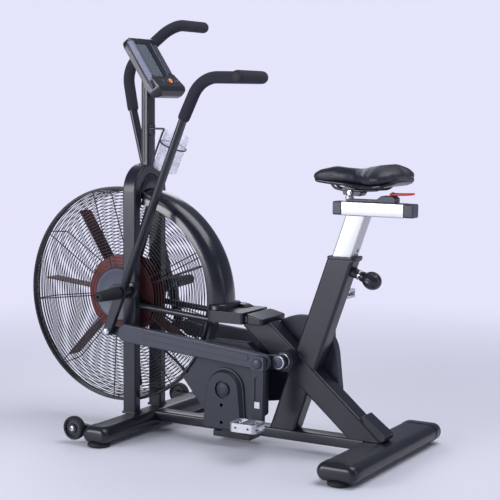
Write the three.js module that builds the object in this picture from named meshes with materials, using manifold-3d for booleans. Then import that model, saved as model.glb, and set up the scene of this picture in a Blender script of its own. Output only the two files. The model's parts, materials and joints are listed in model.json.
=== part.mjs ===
// Air bike: a stationary bicycle braked by a caged fan, with two swinging handles.
// Units are millimetres and +Z is up. +X points to the rider's back, so the fan is at -X.
// -Y is the rider's left. The origin is on the floor, at the middle of the bike's length and width.
// Lengths along X below are measured from the crank axle, which stands CRANK_X behind the origin.

import * as THREE from 'three';
import { mergeVertices } from 'three/addons/utils/BufferGeometryUtils.js';
import Module from 'manifold-3d';

const wasm = await Module();
wasm.setup();

// ---------------------------------------------------------------- driving dimensions

const GAP = 0.3;                  // space left between two pieces that touch
const RUNNING_GAP = 0.5;          // space left between two pieces that turn or slide
const LEFT = -1;
const RIGHT = 1;
const CRANK_X = 268;

// Base
const BASE_TOP = 58;
const BEAM_WIDTH = 50;
const BEAM_HEIGHT = 30;
const STABILIZER_HEIGHT = 48;
const STABILIZER_HALF_LENGTH = 245;
const END_CAP_LENGTH = 45;
const FRONT_STABILIZER_X = -485;
const FRONT_STABILIZER_WIDTH = 84;
const REAR_STABILIZER_X = 273;
const REAR_STABILIZER_WIDTH = 116;
const FOOT_Y = 262;
const FOOT_RADIUS = 33;
const WHEEL_X = -562;
const WHEEL_Y = 274;
const WHEEL_Z = 45;
const WHEEL_RADIUS = 34;
const WHEEL_WIDTH = 22;
const WHEEL_PIN_RADIUS = 5;
const TUBE_WALL = 3;

// Fan, its cage and the arch that straddles it
const FAN_X = -572;
const FAN_Z = 402;
const CAGE_RADIUS = 320;
const CAGE_FACE_Y = 49;           // outer face of each guard
const WIRE = 4;
const HUB_PLATE_RADIUS = 77;
const CAGE_RINGS = 3;
const CAGE_SPOKES = 6;
const CAGE_SEAM = 2;              // edge of each guard to the mid-plane
const BLADE_RADIUS = 286;
const BLADE_COUNT = 7;
const BLADE_PHASE = 20;           // degrees from the rearward horizontal to the first blade
const BLADE_HALF_WIDTH = 29;
const BLADE_THICKNESS = 3;
const ROTOR_DISC_RADIUS = 116;
const FAN_AXLE_RADIUS = 8;
const ARCH_X = -508;
const ARCH_DEPTH = 44;
const ARCH_HALF_WIDTH = 82;
const ARCH_THICKNESS = 30;
const ARCH_SPRING_Z = 708;        // height where the round crown starts
const MAST_X = -495;
const MAST_DEPTH = 26;
const MAST_WIDTH = 40;
const MAST_TOP = 1046;

// Wind duct over the rear upper quarter of the cage
const DUCT_CENTRE_X = FAN_X + 35;
const DUCT_CENTRE_Z = FAN_Z - 8;
const DUCT_RADIUS = 331.5;
const DUCT_HALF_WIDTH = 57;
const DUCT_DEPTH = 45;
const DUCT_CORNER = 14;
const DUCT_START = -0.8;          // degrees above the rearward horizontal
const DUCT_END = 79.6;

// Crank
const AXLE_Z = 262;
const AXLE_RADIUS = 10;
const THROW = 40;                 // eccentric pin to axle
const CRANK_ARM = 163;            // eccentric pin to pedal spindle
const PIN_RADIUS = 9;
const INNER_ARM_Y = [80, 96];
const LINK_Y = [102, 119];
const LINK_HALF_DEPTH = 26;
const LINK_EYE_RADIUS = 14;
const OUTER_ARM_Y = [124, 141];
const OUTER_ARM_WIDTH = 36;
const PEDAL_Y = [162, 225];
const PEDAL_LENGTH = 84;
const PEDAL_HEIGHT = 24;
const SPINDLE_RADIUS = 6;

// Handles
const HANDLE_PIVOT_X = -500;
const HANDLE_PIVOT_Z = 422;
const HANDLE_Y = 125;             // middle of the flat-oval tube
const HANDLE_WIDTH = 30;
const HANDLE_DEPTH = 18;
const HANDLE_HUB_RADIUS = 20;
const HANDLE_HUB_Y = [108, 142];
const GRIP_RADIUS = 17;
const GRIP_CORE_RADIUS = 11;
const GRIP_START = 540;           // distance up the tube where the foam begins
const GRIP_ELBOW = [9, 671];      // first bend's corner: behind the tube's line, above the pivot
const GRIP_END = [207, 750];      // second bend's corner, where the grip turns outwards
const HANDLE_REACH = 298;         // grip end to the mid-plane
const PLUG = 6;                   // thickness of the grip's closed end
const LEVER = 126;                // handle pivot to link pivot
const LEVER_Y = [123, 139];
const PEG_SHAFT_RADIUS = 10;
const PEG_Y = [147, 245];
const LEFT_LEAN = 22.5;           // degrees behind the vertical, the rear end of the swing
const SWING = 2 * THREE.MathUtils.radToDeg(Math.asin(THROW / LEVER));
const RIGHT_LEAN = LEFT_LEAN - SWING;

// Spine, seat tube and the belt drive
const SPINE_DROP = 40.4;          // degrees below the horizontal, towards the rear
const SPINE_Z = 257;              // height of the spine's centreline above the origin
const SPINE_DEPTH = 68;
const SPINE_WIDTH = 60;
const SEAT_LEAN = 19.5;           // degrees behind the vertical
const SEAT_X = 152;               // seat tube centreline, at SEAT_Z
const SEAT_Z = 560;
const SEAT_TUBE_DEPTH = 76;
const SEAT_TUBE_WIDTH = 54;
const SEAT_POST_DEPTH = 60;
const SEAT_POST_WIDTH = 40;
const JACKSHAFT_X = -187;
const JACKSHAFT_Z = 163;
const CRANK_PULLEY_RADIUS = 100;
const JACKSHAFT_SMALL_RADIUS = 30;
const JACKSHAFT_LARGE_RADIUS = 62;
const FAN_PULLEY_RADIUS = 26;
const SHAFT_RADIUS = 8;
const SHAFT_Y = [-56, 58];
const BELT_THICKNESS = 3;
const CRANK_BELT_Y = [47, 53];
const FAN_BELT_Y = [-42, -34];

// Side tubes, covers, bearing shell and the seat tube's fittings
const SIDE_TUBE_RADIUS = 9;
const SIDE_TUBE_Y = 62;
const SIDE_TUBE_FRONT_Z = 377;
const SIDE_TUBE_REAR_Z = 356;
const TOP_COVER_X = [-262, -67];
const TOP_COVER_Z = [354, 388];
const TOP_COVER_HALF_WIDTH = 74;
const TOP_COVER_CORNER = 18;
const COVER_WALL = 2.5;
const LEFT_COVER_Y = [-62, -31];
const LEFT_COVER_OUTLINE = [      // X and Z of the corners
  [-249, 88], [-331, 177], [-236, 300], [-118, 300], [-64, 250], [-64, 118], [-90, 100],
];
const SHAFT_COVER_Y = [-80, -62 - GAP];
const SHAFT_COVER_FOOT = [-248, -130]; // X of the circles that round its lower corners
const RIGHT_COVER_Y = [32, 62];
const RIGHT_COVER_CIRCLES = [     // X, Z and radius of the circles its outline wraps
  [0, 262, 114], [-187, 163, 58], [100, 178, 24],
];
const BEARING_SHELL_RADIUS = 24;
const BEARING_FLANGE_RADIUS = 31;
const BEARING_Y = [-72, 42];
const SEAT_COLLAR_Z = [548, 557]; // a level ring on the seat tube's level-cut top
const SEAT_COLLAR_X = 151;
const SEAT_BORE_DEPTH = 262;      // below SEAT_Z, room for the lowered seat post
const POP_PIN_Z = -35;
const POP_PIN_RADIUS = 6;

// Saddle and slider
const SLIDER_BOTTOM = 669;
const SLIDER_TOP = 707;
const SLIDER_X = [148, 328];
const SLIDER_WIDTH = 40;
const SLIDER_CAP_LENGTH = 28;
const SADDLE_X = [52, 341];
const CLAMP_X = 178;
const CAM_X = 290;

// Console, drawn with its own X down the display and Z out of it
const CONSOLE_TOP = [-524, 1160]; // X and Z of the display face's top edge
const CONSOLE_SLOPE = 56;         // degrees below the horizontal, towards the rider
const CONSOLE_LENGTH = 212;
const CONSOLE_THICKNESS = 28;
const CONSOLE_HALF_WIDTH = 68;
const CONSOLE_CORNER = 30;
const SCREEN_X = [24, 142];
const SCREEN_Y = [-46, 12];
const KEYPAD_X = [26, 128];
const KEYPAD_Y = [38, 63];
const BUTTON_AT = [161, 14];
const BUTTON_RADIUS = 8;

// Bottle holder
const CUP_AT = [-438, 772];       // X and Z of the middle of the cup's floor
const CUP_LEAN = 23;              // degrees behind the vertical
const CUP_RADIUS = 37;
const CUP_HEIGHT = 112;
const CUP_WALL = 2.5;

const rad = THREE.MathUtils.degToRad;

// ---------------------------------------------------------------- solids and placement

// Welds a geometry's vertices and turns its faces outwards.
function weld(geometry) {
  geometry.deleteAttribute('normal');
  geometry.deleteAttribute('uv');
  const welded = mergeVertices(geometry, 1e-4);
  const points = welded.attributes.position.array;
  const order = welded.index.array;
  let volume = 0;
  for (let i = 0; i < order.length; i += 3) {
    const [a, b, c] = [order[i] * 3, order[i + 1] * 3, order[i + 2] * 3];
    volume += points[a] * (points[b + 1] * points[c + 2] - points[b + 2] * points[c + 1])
      + points[a + 1] * (points[b + 2] * points[c] - points[b] * points[c + 2])
      + points[a + 2] * (points[b] * points[c + 1] - points[b + 1] * points[c]);
  }
  if (volume < 0) {
    for (let i = 0; i < order.length; i += 3) {
      [order[i + 1], order[i + 2]] = [order[i + 2], order[i + 1]];
    }
  }
  return welded;
}

function toManifold(geometry) {
  const welded = weld(geometry);
  return new wasm.Manifold(new wasm.Mesh({
    numProp: 3,
    vertProperties: new Float32Array(welded.attributes.position.array),
    triVerts: new Uint32Array(welded.index.array),
  }));
}

function toGeometry(manifold) {
  const mesh = manifold.getMesh();
  const geometry = new THREE.BufferGeometry();
  geometry.setAttribute('position', new THREE.Float32BufferAttribute(mesh.vertProperties, 3));
  geometry.setIndex(new THREE.Uint32BufferAttribute(mesh.triVerts, 1));
  return geometry;
}

// Joins every geometry of the first list and cuts every one of the second list away.
function combine(joined, cut = []) {
  let solid = toManifold(joined[0]);
  for (const other of joined.slice(1)) {
    solid = solid.add(toManifold(other));
  }
  for (const other of cut) {
    solid = solid.subtract(toManifold(other));
  }
  return toGeometry(solid);
}

const bike = new THREE.Group();
bike.position.x = CRANK_X;

function add(name, geometry, material, parent = bike) {
  const solid = weld(geometry);
  solid.computeVertexNormals();
  const mesh = new THREE.Mesh(solid, material.clone());
  mesh.name = name;
  parent.add(mesh);
  return mesh;
}

// ---------------------------------------------------------------- shape helpers

function box([x0, x1], [y0, y1], [z0, z1]) {
  return new THREE.BoxGeometry(x1 - x0, y1 - y0, z1 - z0)
    .translate((x0 + x1) / 2, (y0 + y1) / 2, (z0 + z1) / 2);
}

// Round bar along Y, from y0 to y1, about the line at (x, z).
function rodY(x, z, radius, [y0, y1], segments = 24) {
  return new THREE.CylinderGeometry(radius, radius, y1 - y0, segments)
    .translate(x, (y0 + y1) / 2, z);
}

// Round bar between two points.
function rodBetween(from, to, radius, segments = 16) {
  const start = new THREE.Vector3(...from);
  const end = new THREE.Vector3(...to);
  const length = start.distanceTo(end);
  const turn = new THREE.Quaternion()
    .setFromUnitVectors(new THREE.Vector3(0, 1, 0), end.clone().sub(start).normalize());
  return new THREE.CylinderGeometry(radius, radius, length, segments)
    .applyQuaternion(turn)
    .translate((start.x + end.x) / 2, (start.y + end.y) / 2, (start.z + end.z) / 2);
}

function roundedRect(width, height, radius) {
  const shape = new THREE.Shape();
  const x = width / 2 - radius;
  const y = height / 2 - radius;
  shape.absarc(x, y, radius, 0, Math.PI / 2);
  shape.absarc(-x, y, radius, Math.PI / 2, Math.PI);
  shape.absarc(-x, -y, radius, Math.PI, 1.5 * Math.PI);
  shape.absarc(x, -y, radius, 1.5 * Math.PI, 2 * Math.PI);
  return shape;
}

function tubeSection(width, height, radius, wall, innerRadius = radius - wall) {
  const shape = roundedRect(width, height, radius);
  shape.holes.push(roundedRect(width - 2 * wall, height - 2 * wall, innerRadius));
  return shape;
}

function polygon(points) {
  return new THREE.Shape(points.map(([x, y]) => new THREE.Vector2(x, y)));
}

// Outline around circles, given in order with the outline on their right-hand side.
// Each circle is [x, y, radius]; straight stretches touch both neighbours.
function beltOutline(circles, segments = 12) {
  const outline = [];
  const count = circles.length;
  const headings = circles.map(([x0, y0, r0], i) => {
    const [x1, y1, r1] = circles[(i + 1) % count];
    const span = Math.hypot(x1 - x0, y1 - y0);
    return Math.atan2(y1 - y0, x1 - x0) - Math.PI / 2 - Math.asin((r1 - r0) / span);
  });
  circles.forEach(([x, y, r], i) => {
    const from = headings[(i + count - 1) % count];
    let sweep = headings[i] - from;
    sweep -= 2 * Math.PI * Math.floor(sweep / (2 * Math.PI));
    const steps = Math.max(2, Math.ceil(segments * sweep / Math.PI));
    for (let k = 0; k <= steps; k += 1) {
      const angle = from + sweep * k / steps;
      outline.push([x + r * Math.cos(angle), y + r * Math.sin(angle)]);
    }
  });
  return outline;
}

function extrude(shape, depth, curveSegments) {
  return new THREE.ExtrudeGeometry(shape, { depth, bevelEnabled: false, curveSegments });
}

// A shape drawn in X and Z, extruded along Y from y0 to y1.
function extrudeY(shape, [y0, y1], curveSegments = 3) {
  return extrude(shape, y1 - y0, curveSegments).rotateX(Math.PI / 2).translate(0, y1, 0);
}

// A shape drawn in Y and Z, extruded along X from x0 to x1.
function extrudeX(shape, [x0, x1], curveSegments = 3) {
  const turn = new THREE.Matrix4().makeBasis(
    new THREE.Vector3(0, 1, 0), new THREE.Vector3(0, 0, 1), new THREE.Vector3(1, 0, 0));
  return extrude(shape, x1 - x0, curveSegments).applyMatrix4(turn).translate(x0, 0, 0);
}

// A shape drawn in X and Y, extruded along Z from z0 to z1.
function extrudeZ(shape, [z0, z1], curveSegments = 3) {
  return extrude(shape, z1 - z0, curveSegments).translate(0, 0, z0);
}

// Solid of revolution about the Y axis through (x, z); points are [radius, y].
function turned(x, z, points, segments = 32) {
  const profile = points.map(([r, y]) => new THREE.Vector2(r, y));
  return new THREE.LatheGeometry(profile, segments).translate(x, 0, z);
}

// A pair [a, b] of distances from the mid-plane, placed on one side as [low, high].
function onSide(side, [a, b]) {
  return side === LEFT ? [-b, -a] : [a, b];
}

function sideName(side) {
  return side === LEFT ? 'left' : 'right';
}

// ---------------------------------------------------------------- materials

function material(color, roughness, metalness) {
  return new THREE.MeshStandardMaterial({ color, roughness, metalness });
}

const BLACK_PAINT = material(0x23252b, 0.42, 0.35);
const GREY_COVER = material(0x4c4f57, 0.5, 0.2);
const BLACK_PLASTIC = material(0x1c1e23, 0.38, 0);
const RUBBER = material(0x161719, 0.85, 0);
const FOAM = material(0x2e3036, 0.92, 0);
const FAN_RED = material(0x5a2322, 0.5, 0.2);
const WIRE_PAINT = material(0x1b1d22, 0.4, 0.4);
const SATIN_ALUMINIUM = material(0xd9dade, 0.32, 0.85);
const BRIGHT_ALUMINIUM = material(0xc4c6cc, 0.25, 0.9);
const CHROME = material(0xc9ccd2, 0.12, 1);
const RED_LEVER = material(0xc42a20, 0.4, 0);
const LEATHER = material(0x1b1b1e, 0.55, 0);
const SCREEN = material(0x66757a, 0.15, 0);
const ORANGE_BUTTON = material(0xf29a5c, 0.5, 0);
const CLEAR_PLASTIC = material(0xe6e6ea, 0.3, 0);

// ---------------------------------------------------------------- frame axes

// Places a geometry built about the spine's axis (local X along the spine, rearwards).
function onSpine(geometry) {
  return geometry.rotateY(rad(SPINE_DROP)).translate(0, 0, SPINE_Z);
}

// Places a geometry built about the seat tube's axis (local Z up the tube, zero at SEAT_Z).
function onSeatTube(geometry) {
  return geometry.rotateY(rad(SEAT_LEAN)).translate(SEAT_X, 0, SEAT_Z);
}

// A cross-floor tube's section carried from end to end.
function stabilizerAlong(section, x) {
  return extrudeY(section, [-STABILIZER_HALF_LENGTH, STABILIZER_HALF_LENGTH], 4)
    .translate(x, 0, BASE_TOP - STABILIZER_HEIGHT / 2);
}

function stabilizerSolid(x, width, grow) {
  const radius = STABILIZER_HEIGHT / 2 + grow;
  return stabilizerAlong(roundedRect(width + 2 * grow, 2 * radius, radius), x);
}

function spineSolid(grow) {
  const shape = roundedRect(SPINE_WIDTH + 2 * grow, SPINE_DEPTH + 2 * grow, 6 + grow);
  return onSpine(extrudeX(shape, [-190, 345], 2));
}

// ---------------------------------------------------------------- base

function buildBase() {
  const stabilizers = [
    stabilizerSolid(FRONT_STABILIZER_X, FRONT_STABILIZER_WIDTH, GAP),
    stabilizerSolid(REAR_STABILIZER_X, REAR_STABILIZER_WIDTH, GAP),
  ];
  const beamShape = tubeSection(BEAM_WIDTH, BEAM_HEIGHT, 5, TUBE_WALL);
  const beam = extrudeX(beamShape, [FRONT_STABILIZER_X, REAR_STABILIZER_X], 3)
    .translate(0, 0, BASE_TOP + 1 - BEAM_HEIGHT / 2);
  add('main_beam', combine([beam], stabilizers), BLACK_PAINT);

  buildStabilizer('front', FRONT_STABILIZER_X, FRONT_STABILIZER_WIDTH);
  buildStabilizer('rear', REAR_STABILIZER_X, REAR_STABILIZER_WIDTH);
  for (const side of [LEFT, RIGHT]) {
    buildEndCap('front', side, FRONT_STABILIZER_X, FRONT_STABILIZER_WIDTH);
    buildEndCap('rear', side, REAR_STABILIZER_X, REAR_STABILIZER_WIDTH);
    buildFoot('front', side, FRONT_STABILIZER_X);
    buildFoot('rear', side, REAR_STABILIZER_X);
    buildTransportWheel(side);
  }
}

function buildStabilizer(end, x, width) {
  const section = tubeSection(width, STABILIZER_HEIGHT, STABILIZER_HEIGHT / 2, TUBE_WALL);
  add(`${end}_stabilizer`, stabilizerAlong(section, x), BLACK_PAINT);
}

// A moulded cap on each stabilizer end. The front caps carry a fork for a transport wheel.
function buildEndCap(end, side, x, width) {
  const radius = STABILIZER_HEIGHT / 2;
  const inner = STABILIZER_HALF_LENGTH + GAP;
  const outer = STABILIZER_HALF_LENGTH + END_CAP_LENGTH;
  const middle = BASE_TOP - radius;
  const step = 6;                 // the end face is this much smaller all round
  const pieces = [
    extrudeY(roundedRect(width, STABILIZER_HEIGHT, radius), onSide(side, [inner, outer - step]), 4)
      .translate(x, 0, middle),
    extrudeY(roundedRect(width - 2 * step, STABILIZER_HEIGHT - 2 * step, radius - step),
      onSide(side, [outer - step - 2, outer]), 4)
      .translate(x, 0, middle),
  ];
  if (end === 'front') {
    const wheelInner = WHEEL_Y - WHEEL_WIDTH / 2;
    const fork = polygon(beltOutline([[WHEEL_X, WHEEL_Z, 11], [x, middle, 15]], 6));
    pieces.push(extrudeY(fork, onSide(side, [inner, wheelInner - 1])));
    const pinSpan = onSide(side, [inner, wheelInner + WHEEL_WIDTH]);
    pieces.push(rodY(WHEEL_X, WHEEL_Z, WHEEL_PIN_RADIUS, pinSpan));
  }
  add(`${end}_end_cap_${sideName(side)}`, combine(pieces), BLACK_PLASTIC);
}

function buildFoot(end, side, x) {
  const top = BASE_TOP - STABILIZER_HEIGHT - GAP;
  const profile = [[0, 0], [FOOT_RADIUS - 3, 0], [FOOT_RADIUS, 3], [FOOT_RADIUS - 2, 7],
    [FOOT_RADIUS - 7, top], [0, top]];
  const pad = new THREE.LatheGeometry(profile.map(([r, z]) => new THREE.Vector2(r, z)), 24)
    .rotateX(Math.PI / 2);
  const mesh = add(`${end}_foot_${sideName(side)}`, pad, RUBBER);
  mesh.position.set(x, side * FOOT_Y, 0);
}

function buildTransportWheel(side) {
  const half = WHEEL_WIDTH / 2;
  const bore = WHEEL_PIN_RADIUS + RUNNING_GAP;
  const profile = [[bore, -half], [14, -half], [16, -half + 4], [24, -half + 4], [26, -half],
    [WHEEL_RADIUS, -half + 3], [WHEEL_RADIUS, half - 3], [26, half], [24, half - 4], [16, half - 4],
    [14, half], [bore, half], [bore, -half]];
  const mesh = add(`transport_wheel_${sideName(side)}`, turned(0, 0, profile, 18), RUBBER);
  mesh.position.set(WHEEL_X, side * WHEEL_Y, WHEEL_Z);
}

// ---------------------------------------------------------------- frame

function archSolid() {
  const outer = ARCH_HALF_WIDTH;
  const inner = ARCH_HALF_WIDTH - ARCH_THICKNESS;
  const foot = BASE_TOP - STABILIZER_HEIGHT / 2;
  const shape = new THREE.Shape();
  shape.moveTo(outer, foot);
  shape.absarc(0, ARCH_SPRING_Z, outer, 0, Math.PI);
  shape.lineTo(-outer, foot);
  shape.lineTo(-inner, foot);
  shape.absarc(0, ARCH_SPRING_Z, inner, Math.PI, 0, true);
  shape.lineTo(inner, foot);
  return extrudeX(shape, [ARCH_X - ARCH_DEPTH / 2, ARCH_X + ARCH_DEPTH / 2], 9);
}

function buildFrame() {
  const pieces = [archSolid()];
  const bores = [];
  for (const side of [LEFT, RIGHT]) {
    pieces.push(sideTube(side, 0));
    pieces.push(axleBracket(side));
    bores.push(rodY(FAN_X, FAN_Z, FAN_AXLE_RADIUS + GAP, onSide(side, [40, 70]), 20));
  }
  const stabilizer = stabilizerSolid(FRONT_STABILIZER_X, FRONT_STABILIZER_WIDTH, GAP);
  add('arch_frame', combine(pieces, [stabilizer, ...bores]), BLACK_PAINT);

  const crown = ARCH_SPRING_Z + ARCH_HALF_WIDTH;
  const mast = extrudeZ(tubeSection(MAST_DEPTH, MAST_WIDTH, 6, TUBE_WALL), [crown - 10, MAST_TOP], 2)
    .translate(MAST_X, 0, 0);
  const crownCut = new THREE.CylinderGeometry(
    ARCH_HALF_WIDTH + GAP, ARCH_HALF_WIDTH + GAP, 2 * ARCH_DEPTH, 48)
    .rotateZ(Math.PI / 2).translate(ARCH_X, 0, ARCH_SPRING_Z);
  add('console_mast', combine([mast], [crownCut, consoleBlock(GAP)]), BLACK_PAINT);

  buildRearFrame();
}

// The welded rear frame: the sloping spine, the seat tube that crosses it, and the tube's
// lower length, which carries on down to the main beam.
function buildRearFrame() {
  const bearingBore = rodY(0, AXLE_Z, BEARING_SHELL_RADIUS + GAP, [-100, 100], 28);
  const belowBase = box([-400, 500], [-100, 100], [-200, BASE_TOP + 1 + GAP]);
  const aboveCover = box([-400, 0], [-100, 100], [TOP_COVER_Z[1] - TUBE_WALL - GAP, 600]);
  const rearFace = SEAT_TUBE_DEPTH / 2;
  const [collarBottom, collarTop] = SEAT_COLLAR_Z;
  const seatTube = onSeatTube(extrudeZ(roundedRect(SEAT_TUBE_DEPTH, SEAT_TUBE_WIDTH, 9), [-640, 40], 2));
  const aboveTube = box([0, 400], [-100, 100], [collarBottom - GAP, 700]);
  const boss = onSeatTube(new THREE.CylinderGeometry(13, 15, 20, 20)
    .rotateZ(-Math.PI / 2).translate(rearFace + 9, 0, POP_PIN_Z));
  const bore = onSeatTube(extrudeZ(
    roundedRect(SEAT_POST_DEPTH + 4, SEAT_POST_WIDTH + 4, 8), [-SEAT_BORE_DEPTH, 60], 2));
  const pinBore = onSeatTube(rodBetween(
    [rearFace - 10, 0, POP_PIN_Z], [rearFace + 50, 0, POP_PIN_Z], POP_PIN_RADIUS + RUNNING_GAP));
  const cuts = [belowBase, aboveCover, bearingBore, aboveTube, bore, pinBore];
  add('rear_frame', combine([spineSolid(0), seatTube, boss], cuts), BLACK_PAINT);

  const levelDepth = SEAT_TUBE_DEPTH / Math.cos(rad(SEAT_LEAN));
  const ring = extrudeZ(roundedRect(levelDepth + 6, SEAT_TUBE_WIDTH + 6, 11), [collarBottom, collarTop], 2)
    .translate(SEAT_COLLAR_X, 0, 0);
  add('seat_collar', combine([ring], [bore.clone()]), BLACK_PLASTIC);
}

// Two round tubes tie the arch legs to the top of the spine.
function sideTube(side, grow) {
  const front = [ARCH_X, side * SIDE_TUBE_Y, SIDE_TUBE_FRONT_Z];
  const rear = [TOP_COVER_X[0] + 30, side * SIDE_TUBE_Y, SIDE_TUBE_REAR_Z];
  return rodBetween(front, rear, SIDE_TUBE_RADIUS + grow);
}

// A plate in front of each arch leg holds one end of the fan axle.
function axleBracket(side) {
  const plate = polygon([[ARCH_X, FAN_Z - 14], [ARCH_X, FAN_Z + 30], [FAN_X - 10, FAN_Z + 30],
    [FAN_X - 28, FAN_Z + 14], [FAN_X - 28, FAN_Z - 14]]);
  return extrudeY(plate, onSide(side, [CAGE_FACE_Y + 2, CAGE_FACE_Y + 9]));
}

// ---------------------------------------------------------------- console

// Places a geometry built with local X down the display, Z out of it, zero at its top edge.
function onConsole(geometry) {
  return geometry.rotateY(rad(CONSOLE_SLOPE)).translate(CONSOLE_TOP[0], 0, CONSOLE_TOP[1]);
}

function consoleBlock(grow) {
  return onConsole(box([-grow, CONSOLE_LENGTH + grow], [-CONSOLE_HALF_WIDTH, CONSOLE_HALF_WIDTH],
    [-CONSOLE_THICKNESS - grow, 200]));
}

// A span drawn in at both ends, to sit in a well.
function shrunk([low, high]) {
  return [low + RUNNING_GAP, high - RUNNING_GAP];
}

function buildConsole() {
  const profile = new THREE.Shape();
  profile.moveTo(8, 0);
  profile.lineTo(134, 0);
  profile.lineTo(182, 12);
  profile.absarc(192, -4, 16, 0.5 * Math.PI, -0.1 * Math.PI, true);
  profile.lineTo(200, -CONSOLE_THICKNESS + 4);
  profile.lineTo(194, -CONSOLE_THICKNESS);
  profile.lineTo(6, -CONSOLE_THICKNESS);
  profile.lineTo(0, -CONSOLE_THICKNESS + 6);
  profile.lineTo(0, -8);
  const body = extrudeY(profile, [-CONSOLE_HALF_WIDTH, CONSOLE_HALF_WIDTH], 3);
  const outline = roundedRect(CONSOLE_LENGTH + 8, 2 * CONSOLE_HALF_WIDTH, CONSOLE_CORNER);
  const trimmer = extrudeZ(outline, [-60, 60], 3).translate((CONSOLE_LENGTH + 4) / 2, 0, 0);
  const [buttonX, buttonY] = BUTTON_AT;
  const wells = [
    box(SCREEN_X, SCREEN_Y, [-4, 30]),
    box(KEYPAD_X, KEYPAD_Y, [-2, 30]),
    rodBetween([buttonX, buttonY, -20], [buttonX, buttonY, 40], BUTTON_RADIUS + RUNNING_GAP, 20),
  ];
  let housing = toManifold(body).intersect(toManifold(trimmer));
  for (const well of wells) {
    housing = housing.subtract(toManifold(well));
  }
  add('console_housing', onConsole(toGeometry(housing)), BLACK_PLASTIC);
  add('console_screen', onConsole(box(shrunk(SCREEN_X), shrunk(SCREEN_Y), [-3.5, -1.2])), SCREEN);
  add('console_keypad', onConsole(box(shrunk(KEYPAD_X), shrunk(KEYPAD_Y), [-1.5, 1])), RUBBER);
  const cap = rodBetween([buttonX, buttonY, -3.5], [buttonX, buttonY, 10.5], BUTTON_RADIUS, 20);
  add('console_button', onConsole(cap), ORANGE_BUTTON);
}

// ---------------------------------------------------------------- fan and cage

// A flat ring about the fan's axis.
function ring(radius, [y0, y1], thickness, segments) {
  const [inner, outer] = [radius - thickness / 2, radius + thickness / 2];
  return turned(0, 0, [[inner, y0], [outer, y0], [outer, y1], [inner, y1], [inner, y0]], segments);
}

// One guard: a hub plate, spokes and rings on the face, and an outer band that reaches
// almost to the mid-plane, where it meets the other guard.
function buildCage(side) {
  const [inner, outer] = onSide(side, [CAGE_FACE_Y - WIRE, CAGE_FACE_Y]);
  const plateWidth = HUB_PLATE_RADIUS - FAN_AXLE_RADIUS - GAP;
  const pieces = [
    ring(FAN_AXLE_RADIUS + GAP + plateWidth / 2, [inner, outer], plateWidth, 24),
    ring(CAGE_RADIUS - WIRE / 2, onSide(side, [CAGE_SEAM, CAGE_FACE_Y]), WIRE, 40),
  ];
  for (let i = 1; i < CAGE_RINGS; i += 1) {
    const radius = HUB_PLATE_RADIUS + (CAGE_RADIUS - HUB_PLATE_RADIUS) * i / CAGE_RINGS;
    pieces.push(ring(radius, [inner + 0.5, outer - 0.5], WIRE - 1, 24));
  }
  for (let i = 0; i < CAGE_SPOKES; i += 1) {
    const spoke = box([HUB_PLATE_RADIUS - 3, CAGE_RADIUS - 1], [inner, outer], [-WIRE / 2, WIRE / 2]);
    pieces.push(spoke.rotateY(2 * Math.PI * (i + 0.5) / CAGE_SPOKES));
  }
  const beltSlot = box([CAGE_RADIUS - 20, CAGE_RADIUS + 10], [inner + 0.5, -CAGE_SEAM + 1], [-60, 60])
    .rotateY(Math.atan2(FAN_Z - JACKSHAFT_Z, JACKSHAFT_X - FAN_X));
  const cuts = side === LEFT ? [beltSlot] : [];
  const mesh = add(`fan_cage_${sideName(side)}`, combine(pieces, cuts), WIRE_PAINT);
  mesh.position.set(FAN_X, 0, FAN_Z);
}

// The space that the closed cage fills.
function cageHollow() {
  return rodY(FAN_X, FAN_Z, CAGE_RADIUS + 2, [-CAGE_FACE_Y - 2, CAGE_FACE_Y + 2], 96);
}

function buildFan() {
  buildCage(LEFT);
  buildCage(RIGHT);

  const bore = FAN_AXLE_RADIUS + RUNNING_GAP;
  const pulley = [FAN_BELT_Y[0] - 1, FAN_BELT_Y[1] + 1];
  const hub = turned(0, 0, [[bore, pulley[0]], [FAN_PULLEY_RADIUS + 3, pulley[0]],
    [FAN_PULLEY_RADIUS + 3, FAN_BELT_Y[0] - GAP], [FAN_PULLEY_RADIUS, FAN_BELT_Y[0] - GAP],
    [FAN_PULLEY_RADIUS, FAN_BELT_Y[1] + GAP], [FAN_PULLEY_RADIUS + 3, FAN_BELT_Y[1] + GAP],
    [FAN_PULLEY_RADIUS + 3, pulley[1]], [30, pulley[1]], [30, -3], [ROTOR_DISC_RADIUS, -3],
    [ROTOR_DISC_RADIUS, 3], [30, 3], [30, 34], [bore, 34], [bore, pulley[0]]], 18);
  const pieces = [hub];
  const root = ROTOR_DISC_RADIUS - 26;
  const half = BLADE_HALF_WIDTH;
  const blade = polygon([[root, 8 - half], [ROTOR_DISC_RADIUS, -half], [BLADE_RADIUS, -half],
    [BLADE_RADIUS, half], [ROTOR_DISC_RADIUS, half], [root, half - 8]]);
  for (let i = 0; i < BLADE_COUNT; i += 1) {
    const angle = rad(BLADE_PHASE) + 2 * Math.PI * i / BLADE_COUNT;
    pieces.push(extrudeZ(blade, [-BLADE_THICKNESS / 2, BLADE_THICKNESS / 2]).rotateY(-angle));
  }
  const rotor = add('fan_rotor', combine(pieces), FAN_RED);
  rotor.position.set(FAN_X, 0, FAN_Z);

  const shoulder = CAGE_FACE_Y + 9 + GAP;
  const axle = [[0, -shoulder - 12], [9, -shoulder - 12], [13, -shoulder - 8], [13, -shoulder],
    [FAN_AXLE_RADIUS, -shoulder], [FAN_AXLE_RADIUS, shoulder], [13, shoulder], [13, shoulder + 8],
    [9, shoulder + 12], [0, shoulder + 12]];
  const axleMesh = add('fan_axle', turned(0, 0, axle, 24), CHROME);
  axleMesh.position.set(FAN_X, 0, FAN_Z);
}

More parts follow.
